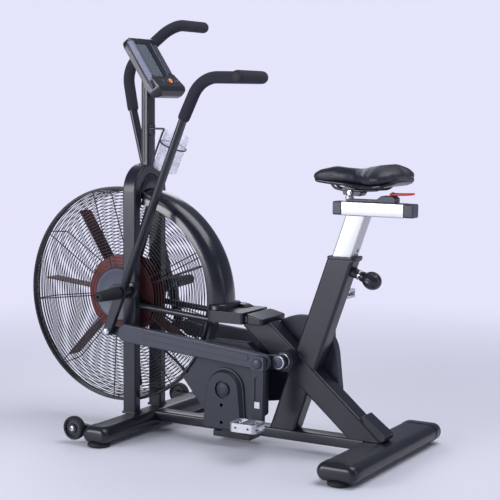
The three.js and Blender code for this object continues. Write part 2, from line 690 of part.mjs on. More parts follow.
// The crown of the duct, an arc in the mid-plane that starts at the rear and climbs.
class DuctPath extends THREE.Curve {
  getPoint(t, target = new THREE.Vector3()) {
    const angle = rad(DUCT_START + (DUCT_END - DUCT_START) * t);
    return target.set(
      DUCT_CENTRE_X + DUCT_RADIUS * Math.cos(angle), 0, DUCT_CENTRE_Z + DUCT_RADIUS * Math.sin(angle));
  }
}

// A fender over the cage: the section's x runs across the bike and its y away from the fan.
function buildDuct() {
  const side = DUCT_HALF_WIDTH;
  const corner = side - DUCT_CORNER;
  const hip = 3;                  // the crown's rise above its rounded corners
  const section = new THREE.Shape();
  section.moveTo(side, -DUCT_DEPTH);
  section.absarc(corner, -DUCT_CORNER - hip, DUCT_CORNER, 0, Math.PI / 2);
  section.quadraticCurveTo(0, hip, -corner, -hip);
  section.absarc(-corner, -DUCT_CORNER - hip, DUCT_CORNER, Math.PI / 2, Math.PI);
  section.lineTo(-side, -DUCT_DEPTH);
  section.lineTo(-side + TUBE_WALL, -DUCT_DEPTH);
  section.absarc(-corner, -DUCT_CORNER - hip, DUCT_CORNER - TUBE_WALL, Math.PI, Math.PI / 2, true);
  section.quadraticCurveTo(0, hip - TUBE_WALL, corner, -hip - TUBE_WALL);
  section.absarc(corner, -DUCT_CORNER - hip, DUCT_CORNER - TUBE_WALL, Math.PI / 2, 0, true);
  section.lineTo(side - TUBE_WALL, -DUCT_DEPTH);
  const duct = new THREE.ExtrudeGeometry(section, {
    steps: 12, bevelEnabled: false, curveSegments: 2, extrudePath: new DuctPath(),
  });
  add('wind_duct', duct, BLACK_PLASTIC);
}

// ---------------------------------------------------------------- drive

function inset(points, distance) {
  const count = points.length;
  return points.map(([x, y], i) => {
    const [px, py] = points[(i + count - 1) % count];
    const [nx, ny] = points[(i + 1) % count];
    const a = new THREE.Vector2(x - px, y - py).normalize();
    const b = new THREE.Vector2(nx - x, ny - y).normalize();
    const normal = new THREE.Vector2(a.y + b.y, -a.x - b.x).normalize();
    const reach = distance / Math.cos(Math.acos(THREE.MathUtils.clamp(a.dot(b), -1, 1)) / 2);
    return [x + normal.x * reach, y + normal.y * reach];
  });
}

function buildCovers() {
  buildLeftCover();
  buildShaftCover();
  buildRightCover();
  buildTopCover();
}

// Open towards the mid-plane, with a mouth at the front for the fan belt.
function buildLeftCover() {
  const [outer, inner] = LEFT_COVER_Y;
  const shell = extrudeY(polygon(LEFT_COVER_OUTLINE), LEFT_COVER_Y);
  const hollowShape = polygon(inset(LEFT_COVER_OUTLINE, COVER_WALL));
  const hollow = extrudeY(hollowShape, [outer + COVER_WALL, inner + 10]);
  const beltMouth = box([-340, -240], [FAN_BELT_Y[0] - 6, inner + 10], [60, 320]);
  add('drive_cover_left', combine([shell], [hollow, beltMouth]), GREY_COVER);
}

// A raised arch on the left cover, over the end of the jackshaft.
function buildShaftCover() {
  const [outer] = SHAFT_COVER_Y;
  const [front, rear] = SHAFT_COVER_FOOT;
  const arch = beltOutline([[front, 55, 12], [rear, 55, 12], [JACKSHAFT_X, JACKSHAFT_Z, 60]], 14);
  const plate = extrudeY(polygon(arch), SHAFT_COVER_Y);
  const boss = rodY(JACKSHAFT_X, JACKSHAFT_Z, 26, [outer - 5, outer + 2], 28);
  const well = rodY(JACKSHAFT_X, JACKSHAFT_Z, 19, [outer - 10, outer - 2.5], 28);
  const holes = [118, 68].map((z) => rodY(JACKSHAFT_X - 4, z, 5, [outer - 10, outer + 20], 14));
  add('jackshaft_cover', combine([plate, boss], [well, ...holes]), GREY_COVER);
}

function buildRightCover() {
  const [inner, outer] = RIGHT_COVER_Y;
  const hollowCircles = RIGHT_COVER_CIRCLES.map(([x, z, r]) => [x, z, r - COVER_WALL]);
  const shell = extrudeY(polygon(beltOutline(RIGHT_COVER_CIRCLES, 16)), RIGHT_COVER_Y);
  const hollow = extrudeY(polygon(beltOutline(hollowCircles, 16)), [inner - 10, outer - COVER_WALL]);
  const axleHole = rodY(0, AXLE_Z, AXLE_RADIUS + 6, [0, 100], 24);
  add('drive_cover_right', combine([shell], [hollow, axleHole]), GREY_COVER);
}

// A lid over the top of the spine and the rear ends of the side tubes.
function buildTopCover() {
  const [front, rear] = TOP_COVER_X;
  const [bottom, top] = TOP_COVER_Z;
  const [length, width] = [rear - front, 2 * TOP_COVER_HALF_WIDTH];
  const middle = (front + rear) / 2;
  const lid = extrudeZ(roundedRect(length, width, TOP_COVER_CORNER), TOP_COVER_Z, 3);
  const cavity = extrudeZ(
    roundedRect(length - 2 * TUBE_WALL, width - 2 * TUBE_WALL, TOP_COVER_CORNER - TUBE_WALL),
    [bottom - 5, top - TUBE_WALL], 3);
  const tubes = [LEFT, RIGHT].map((side) => sideTube(side, GAP));
  const cuts = [cavity.translate(middle, 0, 0), spineSolid(GAP), ...tubes, cageHollow()];
  add('top_cover', combine([lid.translate(middle, 0, 0)], cuts), BLACK_PLASTIC);
}

function beltLoop(circles, span) {
  const clear = 0.4;
  const wrapped = (grow) => polygon(beltOutline(circles.map(([x, z, r]) => [x, z, r + grow]), 22));
  const shape = wrapped(clear + BELT_THICKNESS);
  shape.holes.push(wrapped(clear));
  return extrudeY(shape, span);
}

// A flanged pulley's profile over the belt's span [y0, y1]; the belt runs on the radius.
function pulleyProfile(radius, [y0, y1], bore) {
  const rim = radius + 3;
  return [[bore, y0 - 2], [rim, y0 - 2], [rim, y0 - GAP], [radius, y0 - GAP],
    [radius, y1 + GAP], [rim, y1 + GAP], [rim, y1 + 1.5], [bore, y1 + 1.5]];
}

function buildDrive() {
  const outside = [-BEAM_WIDTH / 2 - 4, BEAM_WIDTH / 2 + 4];
  const inside = [-BEAM_WIDTH / 2 - GAP, BEAM_WIDTH / 2 + GAP];
  const beamUnderside = BASE_TOP + 1 - BEAM_HEIGHT - GAP;
  const x = JACKSHAFT_X;
  const uprights = extrudeY(polygon([[x - 35, 14], [x - 35, 120], [x - 13, JACKSHAFT_Z + 23],
    [x + 13, JACKSHAFT_Z + 23], [x + 35, 120], [x + 35, 14]]), outside);
  const belly = box([x - 62, x + 61], outside, [12, beamUnderside]);
  const middle = box([-400, 0], inside, [beamUnderside, 300]);
  const shaftBore = rodY(x, JACKSHAFT_Z, SHAFT_RADIUS + RUNNING_GAP, [-50, 50], 20);
  add('jackshaft_bracket', combine([uprights, belly], [middle, shaftBore]), BLACK_PAINT);

  const profile = [[0, SHAFT_Y[0]], [SHAFT_RADIUS, SHAFT_Y[0]],
    ...pulleyProfile(JACKSHAFT_LARGE_RADIUS, FAN_BELT_Y, SHAFT_RADIUS),
    ...pulleyProfile(JACKSHAFT_SMALL_RADIUS, CRANK_BELT_Y, SHAFT_RADIUS),
    [SHAFT_RADIUS, SHAFT_Y[1]], [0, SHAFT_Y[1]]];
  const shaft = add('jackshaft', turned(0, 0, profile, 20), CHROME);
  shaft.position.set(x, 0, JACKSHAFT_Z);

  const fan = [FAN_X, FAN_Z, FAN_PULLEY_RADIUS];
  const crank = [0, AXLE_Z, CRANK_PULLEY_RADIUS];
  add('fan_belt', beltLoop([fan, [x, JACKSHAFT_Z, JACKSHAFT_LARGE_RADIUS]], FAN_BELT_Y), RUBBER);
  add('crank_belt', beltLoop([[x, JACKSHAFT_Z, JACKSHAFT_SMALL_RADIUS], crank], CRANK_BELT_Y), RUBBER);
}

// ---------------------------------------------------------------- crank, pedals and links

function buildCrank() {
  const shell = BEARING_SHELL_RADIUS;
  const flange = BEARING_FLANGE_RADIUS;
  const bore = AXLE_RADIUS + RUNNING_GAP;
  const shoulder = -SPINE_WIDTH / 2 - GAP;
  const [y0, y1] = BEARING_Y;
  const housing = turned(0, 0, [[bore, y0], [flange - 5, y0], [flange, y0 + 5], [flange, shoulder],
    [shell, shoulder], [shell, y1], [bore, y1], [bore, y0]], 24);
  const housingMesh = add('bearing_housing', housing, BLACK_PAINT);
  housingMesh.position.set(0, 0, AXLE_Z);

  const axle = rodY(0, 0, AXLE_RADIUS, [-INNER_ARM_Y[1], INNER_ARM_Y[1]], 24);
  const pieces = [axle];
  for (const side of [LEFT, RIGHT]) {
    const pinX = side * THROW;
    const arm = beltOutline([[0, 0, 21], [pinX, 0, 17]], 12);
    const pinEnds = [INNER_ARM_Y[0] + 4, OUTER_ARM_Y[0] - GAP];
    pieces.push(extrudeY(polygon(arm), onSide(side, INNER_ARM_Y)));
    pieces.push(rodY(0, 0, 17, onSide(side, [INNER_ARM_Y[1] - 1, INNER_ARM_Y[1] + 1.5]), 24));
    pieces.push(rodY(pinX, 0, PIN_RADIUS, onSide(side, pinEnds), 20));
  }
  const shaft = add('crank_shaft', combine(pieces), BLACK_PAINT);
  shaft.position.set(0, 0, AXLE_Z);

  const profile = pulleyProfile(CRANK_PULLEY_RADIUS, CRANK_BELT_Y, AXLE_RADIUS + GAP);
  const pulley = add('crank_pulley', turned(0, 0, [...profile, profile[0]], 32), BLACK_PLASTIC);
  pulley.position.set(0, 0, AXLE_Z);

  for (const side of [LEFT, RIGHT]) {
    buildCrankArm(side);
    buildPedal(side);
    buildLink(side);
  }
}

function buildCrankArm(side) {
  const half = OUTER_ARM_WIDTH / 2;
  const [near, face] = OUTER_ARM_Y;
  const outline = beltOutline([[0, -CRANK_ARM, half - 2], [0, 0, half + 1]], 10);
  const arm = extrudeY(polygon(outline), onSide(side, OUTER_ARM_Y));
  const square = box([-20, 20], onSide(side, [face - 1, face + 2]), [-20, 18]);
  const cap = rodY(0, 0, 15, onSide(side, [face, face + 6]), 24);
  const panel = box([-8, 8], onSide(side, [face - 3, face + 5]), [-128, -40]);
  const spindle = rodY(0, -CRANK_ARM, SPINDLE_RADIUS, onSide(side, [near + 3, PEDAL_Y[1] - 8]), 16);
  const geometry = combine([arm, square, cap, spindle], [panel]);
  const mesh = add(`crank_arm_${sideName(side)}`, geometry, GREY_COVER);
  mesh.position.set(side * THROW, 0, AXLE_Z);
  mesh.rotation.y = side === RIGHT ? Math.PI : 0;
}

// A cage pedal: an outer frame round a spindle barrel.
function buildPedal(side) {
  const half = PEDAL_LENGTH / 2;
  const top = PEDAL_HEIGHT / 2;
  const [inner, outer] = PEDAL_Y;
  const rim = 5;
  const frame = box([-half, half], onSide(side, PEDAL_Y), [-top, top]);
  const well = box([rim - half, half - rim], onSide(side, [inner + rim, outer - rim]), [-30, 30]);
  const windowSpan = onSide(side, [inner + 10, outer - 10]);
  const windows = box([-half - 5, half + 5], windowSpan, [rim - top, top - rim]);
  const barrel = rodY(0, 0, 11, onSide(side, [inner + 1, outer - 1]), 18);
  const bore = rodY(0, 0, SPINDLE_RADIUS + RUNNING_GAP, onSide(side, [inner - 10, outer - 7]), 18);
  const cage = combine([frame], [well, windows]);
  const mesh = add(`pedal_${sideName(side)}`, combine([cage, barrel], [bore]), BRIGHT_ALUMINIUM);
  mesh.position.set(side * THROW, 0, AXLE_Z + side * CRANK_ARM);
}

// Where the lower end of each handle lever is, at rest.
function leverEnd(side) {
  const lean = rad(side === LEFT ? LEFT_LEAN : RIGHT_LEAN);
  return [HANDLE_PIVOT_X - LEVER * Math.sin(lean), HANDLE_PIVOT_Z - LEVER * Math.cos(lean)];
}

function buildLink(side) {
  const [frontX, frontZ] = leverEnd(side);
  const rearX = side * THROW;
  const dx = frontX - rearX;
  const dz = frontZ - AXLE_Z;
  const length = Math.hypot(dx, dz);
  const bar = polygon(beltOutline(
    [[0, 0, LINK_HALF_DEPTH], [2 * LINK_HALF_DEPTH - length, 0, LINK_HALF_DEPTH]], 10));
  const tongue = box([-length, 60 - length], onSide(side, LINK_Y), [-LINK_EYE_RADIUS, LINK_EYE_RADIUS]);
  const eye = rodY(-length, 0, LINK_EYE_RADIUS, onSide(side, LINK_Y), 20);
  const bore = rodY(0, 0, PIN_RADIUS + RUNNING_GAP, onSide(side, [80, 150]), 24);
  const frontBore = rodY(-length, 0, 6, onSide(side, [80, 150]), 16);
  const mesh = add(`link_${sideName(side)}`,
    combine([extrudeY(bar, onSide(side, LINK_Y)), tongue, eye], [bore, frontBore]), GREY_COVER);
  mesh.position.set(rearX, 0, AXLE_Z);
  mesh.rotation.y = Math.atan2(dz, -dx);
}

// ---------------------------------------------------------------- handles

// Straight lines through the corners, with a smooth bend of the given reach at each of them.
function bentPath(points, reaches) {
  const corners = points.map((point) => new THREE.Vector3(...point));
  const path = new THREE.CurvePath();
  let start = corners[0];
  for (let i = 1; i < corners.length - 1; i += 1) {
    const before = corners[i].clone().sub(corners[i - 1]).setLength(reaches[i - 1]);
    const after = corners[i + 1].clone().sub(corners[i]).setLength(reaches[i - 1]);
    const bendStart = corners[i].clone().sub(before);
    const bendEnd = corners[i].clone().add(after);
    path.add(new THREE.LineCurve3(start, bendStart));
    path.add(new THREE.QuadraticBezierCurve3(bendStart, corners[i], bendEnd));
    start = bendEnd;
  }
  path.add(new THREE.LineCurve3(start, corners.at(-1)));
  return path;
}

// The foam-covered end in the handle's own frame: +Z up the straight tube, zero at the pivot.
// It leaves the tube straight up, bends back towards the rider, then turns outwards.
function gripPath(side) {
  const y = side * HANDLE_Y;
  const [endX, endZ] = GRIP_END;
  return bentPath([[0, y, GRIP_START], [GRIP_ELBOW[0], y, GRIP_ELBOW[1]], [endX, y, endZ],
    [endX, side * (HANDLE_REACH - PLUG), endZ]], [62, 46]);
}

function sweep(path, section, steps) {
  return new THREE.ExtrudeGeometry(section, {
    steps, bevelEnabled: false, curveSegments: 4, extrudePath: path,
  });
}

function disc(radius, hole = 0) {
  const shape = new THREE.Shape();
  shape.absarc(0, 0, radius, 0, 2 * Math.PI);
  if (hole) {
    const path = new THREE.Path();
    path.absarc(0, 0, hole, 0, 2 * Math.PI);
    shape.holes.push(path);
  }
  return shape;
}

function buildHandle(side) {
  const group = new THREE.Group();
  group.position.set(HANDLE_PIVOT_X, 0, HANDLE_PIVOT_Z);
  group.rotation.y = rad(side === LEFT ? LEFT_LEAN : RIGHT_LEAN);
  bike.add(group);

  const oval = roundedRect(HANDLE_DEPTH, HANDLE_WIDTH, HANDLE_DEPTH / 2);
  const tube = extrudeZ(oval, [0, GRIP_START - 2], 3).translate(0, side * HANDLE_Y, 0);
  const y = side * HANDLE_Y;
  const root = rodBetween([0, y, GRIP_START - 8], [0, y, GRIP_START + 4], 8);
  const core = sweep(gripPath(side), disc(GRIP_CORE_RADIUS), 12);
  const beyondCore = box([100, 300], onSide(side, [HANDLE_REACH - PLUG - 3, 400]), [700, 800]);
  const hub = rodY(0, 0, HANDLE_HUB_RADIUS, onSide(side, HANDLE_HUB_Y), 24);
  const leverShape = polygon(beltOutline([[0, -LEVER, 13], [0, 0, 15]], 8));
  const lever = extrudeY(leverShape, onSide(side, LEVER_Y));
  const stud = rodY(0, -LEVER, 10, onSide(side, [LEVER_Y[0] - 1.5, LEVER_Y[1] + 9]), 18);
  const bore = rodY(0, 0, PEG_SHAFT_RADIUS + RUNNING_GAP, onSide(side, [90, 160]), 24);
  const handle = combine([tube, root, core, hub, lever, stud], [bore, beyondCore]);
  add(`handle_${sideName(side)}`, handle, BLACK_PAINT, group);

  const sleeve = sweep(gripPath(side), disc(GRIP_RADIUS, GRIP_CORE_RADIUS + 1), 12);
  const plugSpan = onSide(side, [HANDLE_REACH - PLUG - 1, HANDLE_REACH]);
  const plug = rodY(GRIP_END[0], GRIP_END[1], GRIP_RADIUS - 1, plugSpan, 16);
  add(`grip_${sideName(side)}`, combine([sleeve, plug]), FOAM, group);
}

// A fixed shaft on each arch leg: the handle turns on it and a foot peg ends it.
function buildFootPeg(side) {
  const leg = ARCH_HALF_WIDTH + GAP;
  const shaft = PEG_SHAFT_RADIUS;
  const [start, end] = PEG_Y;
  const profile = [[0, leg], [26, leg], [26, leg + 8], [shaft, leg + 8], [shaft, start], [16, start],
    [18, start + 4], [18, start + 20], [14, end], [0, end]];
  const points = profile.map(([r, y]) => [r, side * y]);
  const mesh = add(`foot_peg_${sideName(side)}`, turned(0, 0, points, 24), RUBBER);
  mesh.position.set(HANDLE_PIVOT_X, 0, HANDLE_PIVOT_Z);
}

// ---------------------------------------------------------------- seat

function buildSeat() {
  const postTop = (SLIDER_BOTTOM - SEAT_Z) / Math.cos(rad(SEAT_LEAN));
  const postSection = roundedRect(SEAT_POST_DEPTH, SEAT_POST_WIDTH, 7);
  const post = onSeatTube(extrudeZ(postSection, [-150, postTop + 20], 2));
  const aboveSlider = box([0, 500], [-60, 60], [SLIDER_BOTTOM - GAP, 900]);
  add('seat_post', combine([post], [aboveSlider]), SATIN_ALUMINIUM);

  const half = SLIDER_WIDTH / 2;
  const middle = (SLIDER_TOP + SLIDER_BOTTOM) / 2;
  const section = roundedRect(SLIDER_WIDTH, SLIDER_TOP - SLIDER_BOTTOM, 4);
  add('slider_beam', extrudeX(section, SLIDER_X, 3).translate(0, 0, middle), SATIN_ALUMINIUM);
  const capSection = roundedRect(SLIDER_WIDTH - 1, SLIDER_TOP - SLIDER_BOTTOM - 1, 5);
  const capSpans = {
    front: [SLIDER_X[0] - SLIDER_CAP_LENGTH, SLIDER_X[0] - GAP],
    rear: [SLIDER_X[1] + GAP, SLIDER_X[1] + SLIDER_CAP_LENGTH],
  };
  for (const [end, span] of Object.entries(capSpans)) {
    add(`slider_cap_${end}`, extrudeX(capSection, span, 3).translate(0, 0, middle), BLACK_PLASTIC);
  }

  const base = SLIDER_TOP + RUNNING_GAP;
  const plate = box([158, 304], [3 - half, half - 3], [base, base + 8]);
  const block = box([256, 300], [3 - half, half - 3], [base, base + 18]);
  const stubX = CLAMP_X - 16;
  const stub = rodBetween([stubX, 0, base + 3], [stubX, 0, base + 17], 12, 20);
  add('saddle_carriage', combine([plate, block, stub]), GREY_COVER);

  buildSaddle(base + 17 + RUNNING_GAP);
  buildCamLever(base + 18);
  buildPopPin();
}

function buildSaddle(clampBottom) {
  const clamp = box([CLAMP_X - 24, CLAMP_X + 16], [-26, 26], [clampBottom, clampBottom + 14]);
  const rails = [LEFT, RIGHT].map((side) => rodBetween(
    [CLAMP_X - 56, side * 12, clampBottom + 12], [CLAMP_X + 84, side * 26, clampBottom + 12], 3.5, 10));
  const bridge = box([CLAMP_X + 78, CLAMP_X + 88], [-34, 34], [clampBottom + 8, clampBottom + 16]);
  add('saddle_clamp', combine([clamp, ...rails, bridge]), CHROME);

  const nose = lobe([SADDLE_X[0] + 24, 0, 782], [24, 20, 14]);
  const waist = lobe([170, 0, 781], [26, 27, 13]);
  const seats = [LEFT, RIGHT].map((side) => lobe([SADDLE_X[1] - 56, side * 52, 780], [54, 52, 28]));
  const pad = wasm.Manifold.hull([nose, waist]).add(wasm.Manifold.hull([waist, ...seats]));
  add('saddle', toGeometry(pad), LEATHER);
}

// An ellipsoid, flattened or stretched from a ball.
function lobe([x, y, z], [a, b, c]) {
  return toManifold(new THREE.SphereGeometry(1, 20, 12).scale(a, b, c).translate(x, y, z));
}

// A quick-release lever that turns about a vertical pin on the carriage.
function buildCamLever(seat) {
  const base = seat + RUNNING_GAP;
  const pivot = rodBetween([CAM_X, 0, base], [CAM_X, 0, base + 7], 9, 18);
  const paddle = box([CAM_X, CAM_X + 60], [-7, 7], [base + 1, base + 6]);
  add('cam_lever', combine([pivot, paddle]), RED_LEVER);
}

// A spring pin on the back of the seat tube; the knob pulls straight out.
function buildPopPin() {
  const face = SEAT_TUBE_DEPTH / 2;
  const stem = POP_PIN_RADIUS;
  const profile = [[0, face - 1.5], [stem, face - 1.5], [stem, face + 24], [13, face + 26],
    [22, face + 42], [25, face + 58], [22, face + 74], [12, face + 85], [0, face + 88]];
  const pin = new THREE.LatheGeometry(profile.map(([r, x]) => new THREE.Vector2(r, x)), 20)
    .rotateZ(-Math.PI / 2).translate(0, 0, POP_PIN_Z);
  add('pop_pin', onSeatTube(pin), BLACK_PLASTIC);
}

// ---------------------------------------------------------------- bottle holder

// Places a geometry built up local Z from the middle of the cup's floor.
function onCup(geometry) {
  return geometry.rotateY(rad(CUP_LEAN)).translate(CUP_AT[0], 0, CUP_AT[1]);
}

// An open cup behind the mast, leaning back, held by a rod from a pad on the mast.
function buildBottleHolder() {
  const inner = CUP_RADIUS - CUP_WALL;
  const mastRear = MAST_X + MAST_DEPTH / 2;
  const cup = onCup(rodBetween([0, 0, 0], [0, 0, CUP_HEIGHT], CUP_RADIUS, 32));
  const hollow = onCup(rodBetween([0, 0, 3], [0, 0, CUP_HEIGHT + 3], inner, 32));
  const arm = rodBetween([mastRear + 3, 0, 888], [-416, 0, 862], 4, 10);
  const pad = box([mastRear + GAP, mastRear + 4], [-12, 12], [870, 906]);
  add('bottle_holder', combine([cup, arm, pad], [hollow]), CLEAR_PLASTIC);
}

// ---------------------------------------------------------------- assembly

buildBase();
buildFrame();
buildConsole();
buildFan();
buildDuct();
buildCovers();
buildDrive();
buildCrank();
for (const side of [LEFT, RIGHT]) {
  buildHandle(side);
  buildFootPeg(side);
}
buildSeat();
buildBottleHolder();

export default bike;
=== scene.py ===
import json
import math
from collections import namedtuple

import bmesh
import bpy
from mathutils import Matrix, Vector


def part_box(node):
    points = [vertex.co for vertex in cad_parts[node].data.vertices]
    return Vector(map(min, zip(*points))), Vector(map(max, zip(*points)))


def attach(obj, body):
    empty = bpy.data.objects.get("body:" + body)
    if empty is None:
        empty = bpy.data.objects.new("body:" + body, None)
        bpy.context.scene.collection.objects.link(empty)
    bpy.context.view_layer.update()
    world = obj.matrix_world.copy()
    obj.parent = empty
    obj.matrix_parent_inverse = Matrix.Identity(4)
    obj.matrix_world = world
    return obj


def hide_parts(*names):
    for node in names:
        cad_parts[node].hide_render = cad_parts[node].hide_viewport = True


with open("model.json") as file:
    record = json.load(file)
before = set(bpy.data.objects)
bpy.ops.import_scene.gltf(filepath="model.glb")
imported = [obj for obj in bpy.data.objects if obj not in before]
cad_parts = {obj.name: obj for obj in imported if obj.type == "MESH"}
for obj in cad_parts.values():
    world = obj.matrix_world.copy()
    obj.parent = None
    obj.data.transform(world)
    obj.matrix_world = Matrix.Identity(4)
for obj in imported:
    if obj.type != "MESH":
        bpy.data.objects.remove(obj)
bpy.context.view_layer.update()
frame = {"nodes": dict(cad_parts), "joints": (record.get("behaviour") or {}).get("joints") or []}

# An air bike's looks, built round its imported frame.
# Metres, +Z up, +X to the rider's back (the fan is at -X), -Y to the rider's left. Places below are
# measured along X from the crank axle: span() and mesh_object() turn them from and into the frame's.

LEFT, RIGHT = -1, 1
SIDES = (LEFT, RIGHT)
SIDE_NAME = {LEFT: "left", RIGHT: "right"}

Span = namedtuple("Span", "low high mid size")

pulley_low, pulley_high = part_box("crank_pulley")
CRANK_AXLE = Vector(((pulley_low.x + pulley_high.x) / 2, 0, 0))


def span(node):
    """A CAD node's box, measured from the crank axle, with its middle and size."""
    low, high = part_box(node)
    low, high = low - CRANK_AXLE, high - CRANK_AXLE
    return Span(low, high, (low + high) / 2, high - low)


# ------------------------------------------------------------------ driving places, from the frame

CAGE = span("fan_cage_left")
FAN = Vector((CAGE.mid.x, 0, CAGE.mid.z))
CAGE_RADIUS = CAGE.size.x / 2
CAGE_FACE = -CAGE.low.y
AXLE_Z = span("crank_pulley").mid.z
THROW = span("crank_arm_right").mid.x
CRANK_ARM = span("pedal_right").mid.z - AXLE_Z
PIVOT = Vector((span("foot_peg_left").mid.x, 0, span("foot_peg_left").mid.z))
BEAM = span("main_beam")
POST = span("arch_frame")
SADDLE = span("saddle")
SLIDER = span("slider_beam")

SWING_JOINT = next(joint for joint in frame["joints"] if joint["name"] == "handle_left_swing")
HANDLE_SWING = math.radians(-SWING_JOINT["range_deg"][0])
LEFT_LEAN = math.radians(22.5)
HANDLE_LEAN = {LEFT: LEFT_LEAN, RIGHT: LEFT_LEAN - HANDLE_SWING}
HANDLE_Y = 0.125
GRIP_START = 0.540
GRIP_RADIUS = 0.017
GRIP_KNEE_X, GRIP_KNEE_Z = 0.009, 0.671
GRIP_REACH, GRIP_TOP, GRIP_END_Y = 0.207, 0.750, 0.298
LEVER = 0.126

SEAT_LEAN = math.radians(19.5)
SEAT_POINT = Vector((0.152, 0, 0.560))
POST_END = -0.150
SEAT_TRAVEL_DOWN = 0.090
POST_DEPTH, POST_WIDTH, BORE_PLAY = 0.060, 0.040, 0.004
SEAT_TUBE_DEPTH, SEAT_TUBE_WIDTH = 0.076, 0.054
SPINE_DEPTH, SPINE_WIDTH = 0.060, 0.068
SPINE_DROP = math.radians(40.4)
POP_PIN_Z = -0.035
SPINE_POINT = Vector((0, 0, 0.257))
CONSOLE_SLOPE = math.radians(56)
CONSOLE_POINT = Vector((-0.524, 0, 1.160))
# places on the console's face, as (down the face, across it)
WINDOW_AT = (0.083, -0.017)
KEYS_AT = (0.077, 0.0505)
BUTTON_AT = (0.161, 0.014)


# ------------------------------------------------------------------ materials

Look = namedtuple("Look", "material slot")


def link(tree, source, output, target, entry):
    tree.links.new(source.outputs[output], target.inputs[entry])


def add_node(tree, kind, **inputs):
    made = tree.nodes.new(kind)
    for key, value in inputs.items():
        made.inputs[key.replace("_", " ")].default_value = value
    return made


def look(slot, name, colour, rough, metal=0.0, shade=0.18, grain=900.0, depth=0.00008, stretch=(1, 1, 1),
         coat=0.0, cells=None, see_through=0.0, patches=7.0, rough_spread=0.08, alpha=1.0):
    """A finish with blotchy tone, uneven gloss and a fine surface grain.

    grain is the noise scale per metre and depth the height of its bumps in metres. cells, when
    given, is the scale of a second, pebbled bump, as on leather or foam.
    """
    material = bpy.data.materials.new(name)
    material.use_nodes = True
    tree = material.node_tree
    shader = tree.nodes["Principled BSDF"]
    where = add_node(tree, "ShaderNodeTexCoord")
    scale = add_node(tree, "ShaderNodeMapping", Scale=stretch)
    link(tree, where, "Object", scale, "Vector")

    blotch = add_node(tree, "ShaderNodeTexNoise", Scale=patches, Detail=4.0, Roughness=0.6)
    link(tree, where, "Object", blotch, "Vector")
    fine = add_node(tree, "ShaderNodeTexNoise", Scale=grain, Detail=3.0, Roughness=0.6)
    link(tree, scale, "Vector", fine, "Vector")

    tone = tree.nodes.new("ShaderNodeValToRGB")
    dark = [c * (1 - shade) for c in colour]
    light = [min(1.0, c * (1 + shade) + 0.002) for c in colour]
    tone.color_ramp.elements[0].position = 0.3
    tone.color_ramp.elements[1].position = 0.7
    tone.color_ramp.elements[0].color = (*dark, 1)
    tone.color_ramp.elements[1].color = (*light, 1)
    mix = add_node(tree, "ShaderNodeMath")
    mix.operation = "MULTIPLY_ADD"
    mix.inputs[1].default_value = 0.3
    link(tree, fine, "Fac", mix, 0)
    scaled = add_node(tree, "ShaderNodeMath")
    scaled.operation = "MULTIPLY"
    scaled.inputs[1].default_value = 0.7
    link(tree, blotch, "Fac", scaled, 0)
    link(tree, scaled, "Value", mix, 2)
    link(tree, mix, "Value", tone, "Fac")
    link(tree, tone, "Color", shader, "Base Color")

    gloss = add_node(tree, "ShaderNodeMapRange")
    gloss.inputs["To Min"].default_value = max(0.03, rough - rough_spread)
    gloss.inputs["To Max"].default_value = min(1.0, rough + rough_spread)
    gloss.inputs["From Min"].default_value = 0.3
    gloss.inputs["From Max"].default_value = 0.7
    link(tree, mix, "Value", gloss, "Value")
    link(tree, gloss, "Result", shader, "Roughness")

    bump = add_node(tree, "ShaderNodeBump", Strength=0.6, Distance=depth)
    link(tree, fine, "Fac", bump, "Height")
    if cells:
        pebble = add_node(tree, "ShaderNodeTexVoronoi", Scale=cells)
        pebble.feature = "SMOOTH_F1"
        link(tree, scale, "Vector", pebble, "Vector")
        pebbled = add_node(tree, "ShaderNodeBump", Strength=0.7, Distance=depth * 3)
        link(tree, pebble, "Distance", pebbled, "Height")
        link(tree, bump, "Normal", pebbled, "Normal")
        bump = pebbled
    link(tree, bump, "Normal", shader, "Normal")

    shader.inputs["Metallic"].default_value = metal
    shader.inputs["Coat Weight"].default_value = coat
    shader.inputs["Coat Roughness"].default_value = 0.12
    shader.inputs["Transmission Weight"].default_value = see_through
    shader.inputs["Alpha"].default_value = alpha
    return Look(material, slot)


PAINT = look("frame_paint", "satin_black_powder_coat", (0.0085, 0.0098, 0.0180), 0.34, shade=0.14,
             grain=1400, depth=0.00005, coat=0.12)
DRIVE_COVER = look("cover_grey", "dark_drive_cover", (0.022, 0.025, 0.040), 0.56, shade=0.12, grain=1800,
                   depth=0.00004)
HUB_GREY = look("cover_grey", "grey_hub_plate", (0.062, 0.067, 0.100), 0.45, shade=0.08, grain=1500,
                depth=0.00004)
COVER = look("cover_grey", "grey_moulded_cover", (0.034, 0.038, 0.058), 0.40, shade=0.10, grain=1800,
             depth=0.00004)
PLASTIC = look("black_plastic", "satin_black_plastic", (0.0072, 0.0082, 0.0150), 0.34, shade=0.15,
               grain=2200, depth=0.00003, coat=0.1)
DUCT_GLOSS = look("black_plastic", "duct_black_plastic", (0.0050, 0.0062, 0.0140), 0.27, shade=0.12,
                  grain=2000, depth=0.00002, coat=0.35)
RUBBER = look("rubber", "matte_black_rubber", (0.009, 0.010, 0.014), 0.70, shade=0.25, grain=1200,
              depth=0.00015)
FOAM = look("foam", "charcoal_foam", (0.015, 0.0165, 0.027), 0.88, shade=0.22, grain=1500, depth=0.0003,
            cells=650)
FAN_RED = look("fan_red", "rust_red_paint", (0.190, 0.024, 0.020), 0.5, shade=0.2, grain=900,
               depth=0.00008)
BLADE_RED = look("fan_red", "maroon_blade_paint", (0.075, 0.016, 0.019), 0.55, shade=0.2, grain=900,
                 depth=0.00008)
WIRE = look("cage_wire", "black_coated_wire", (0.010, 0.011, 0.016), 0.32, shade=0.1, grain=800,
            depth=0.00003)
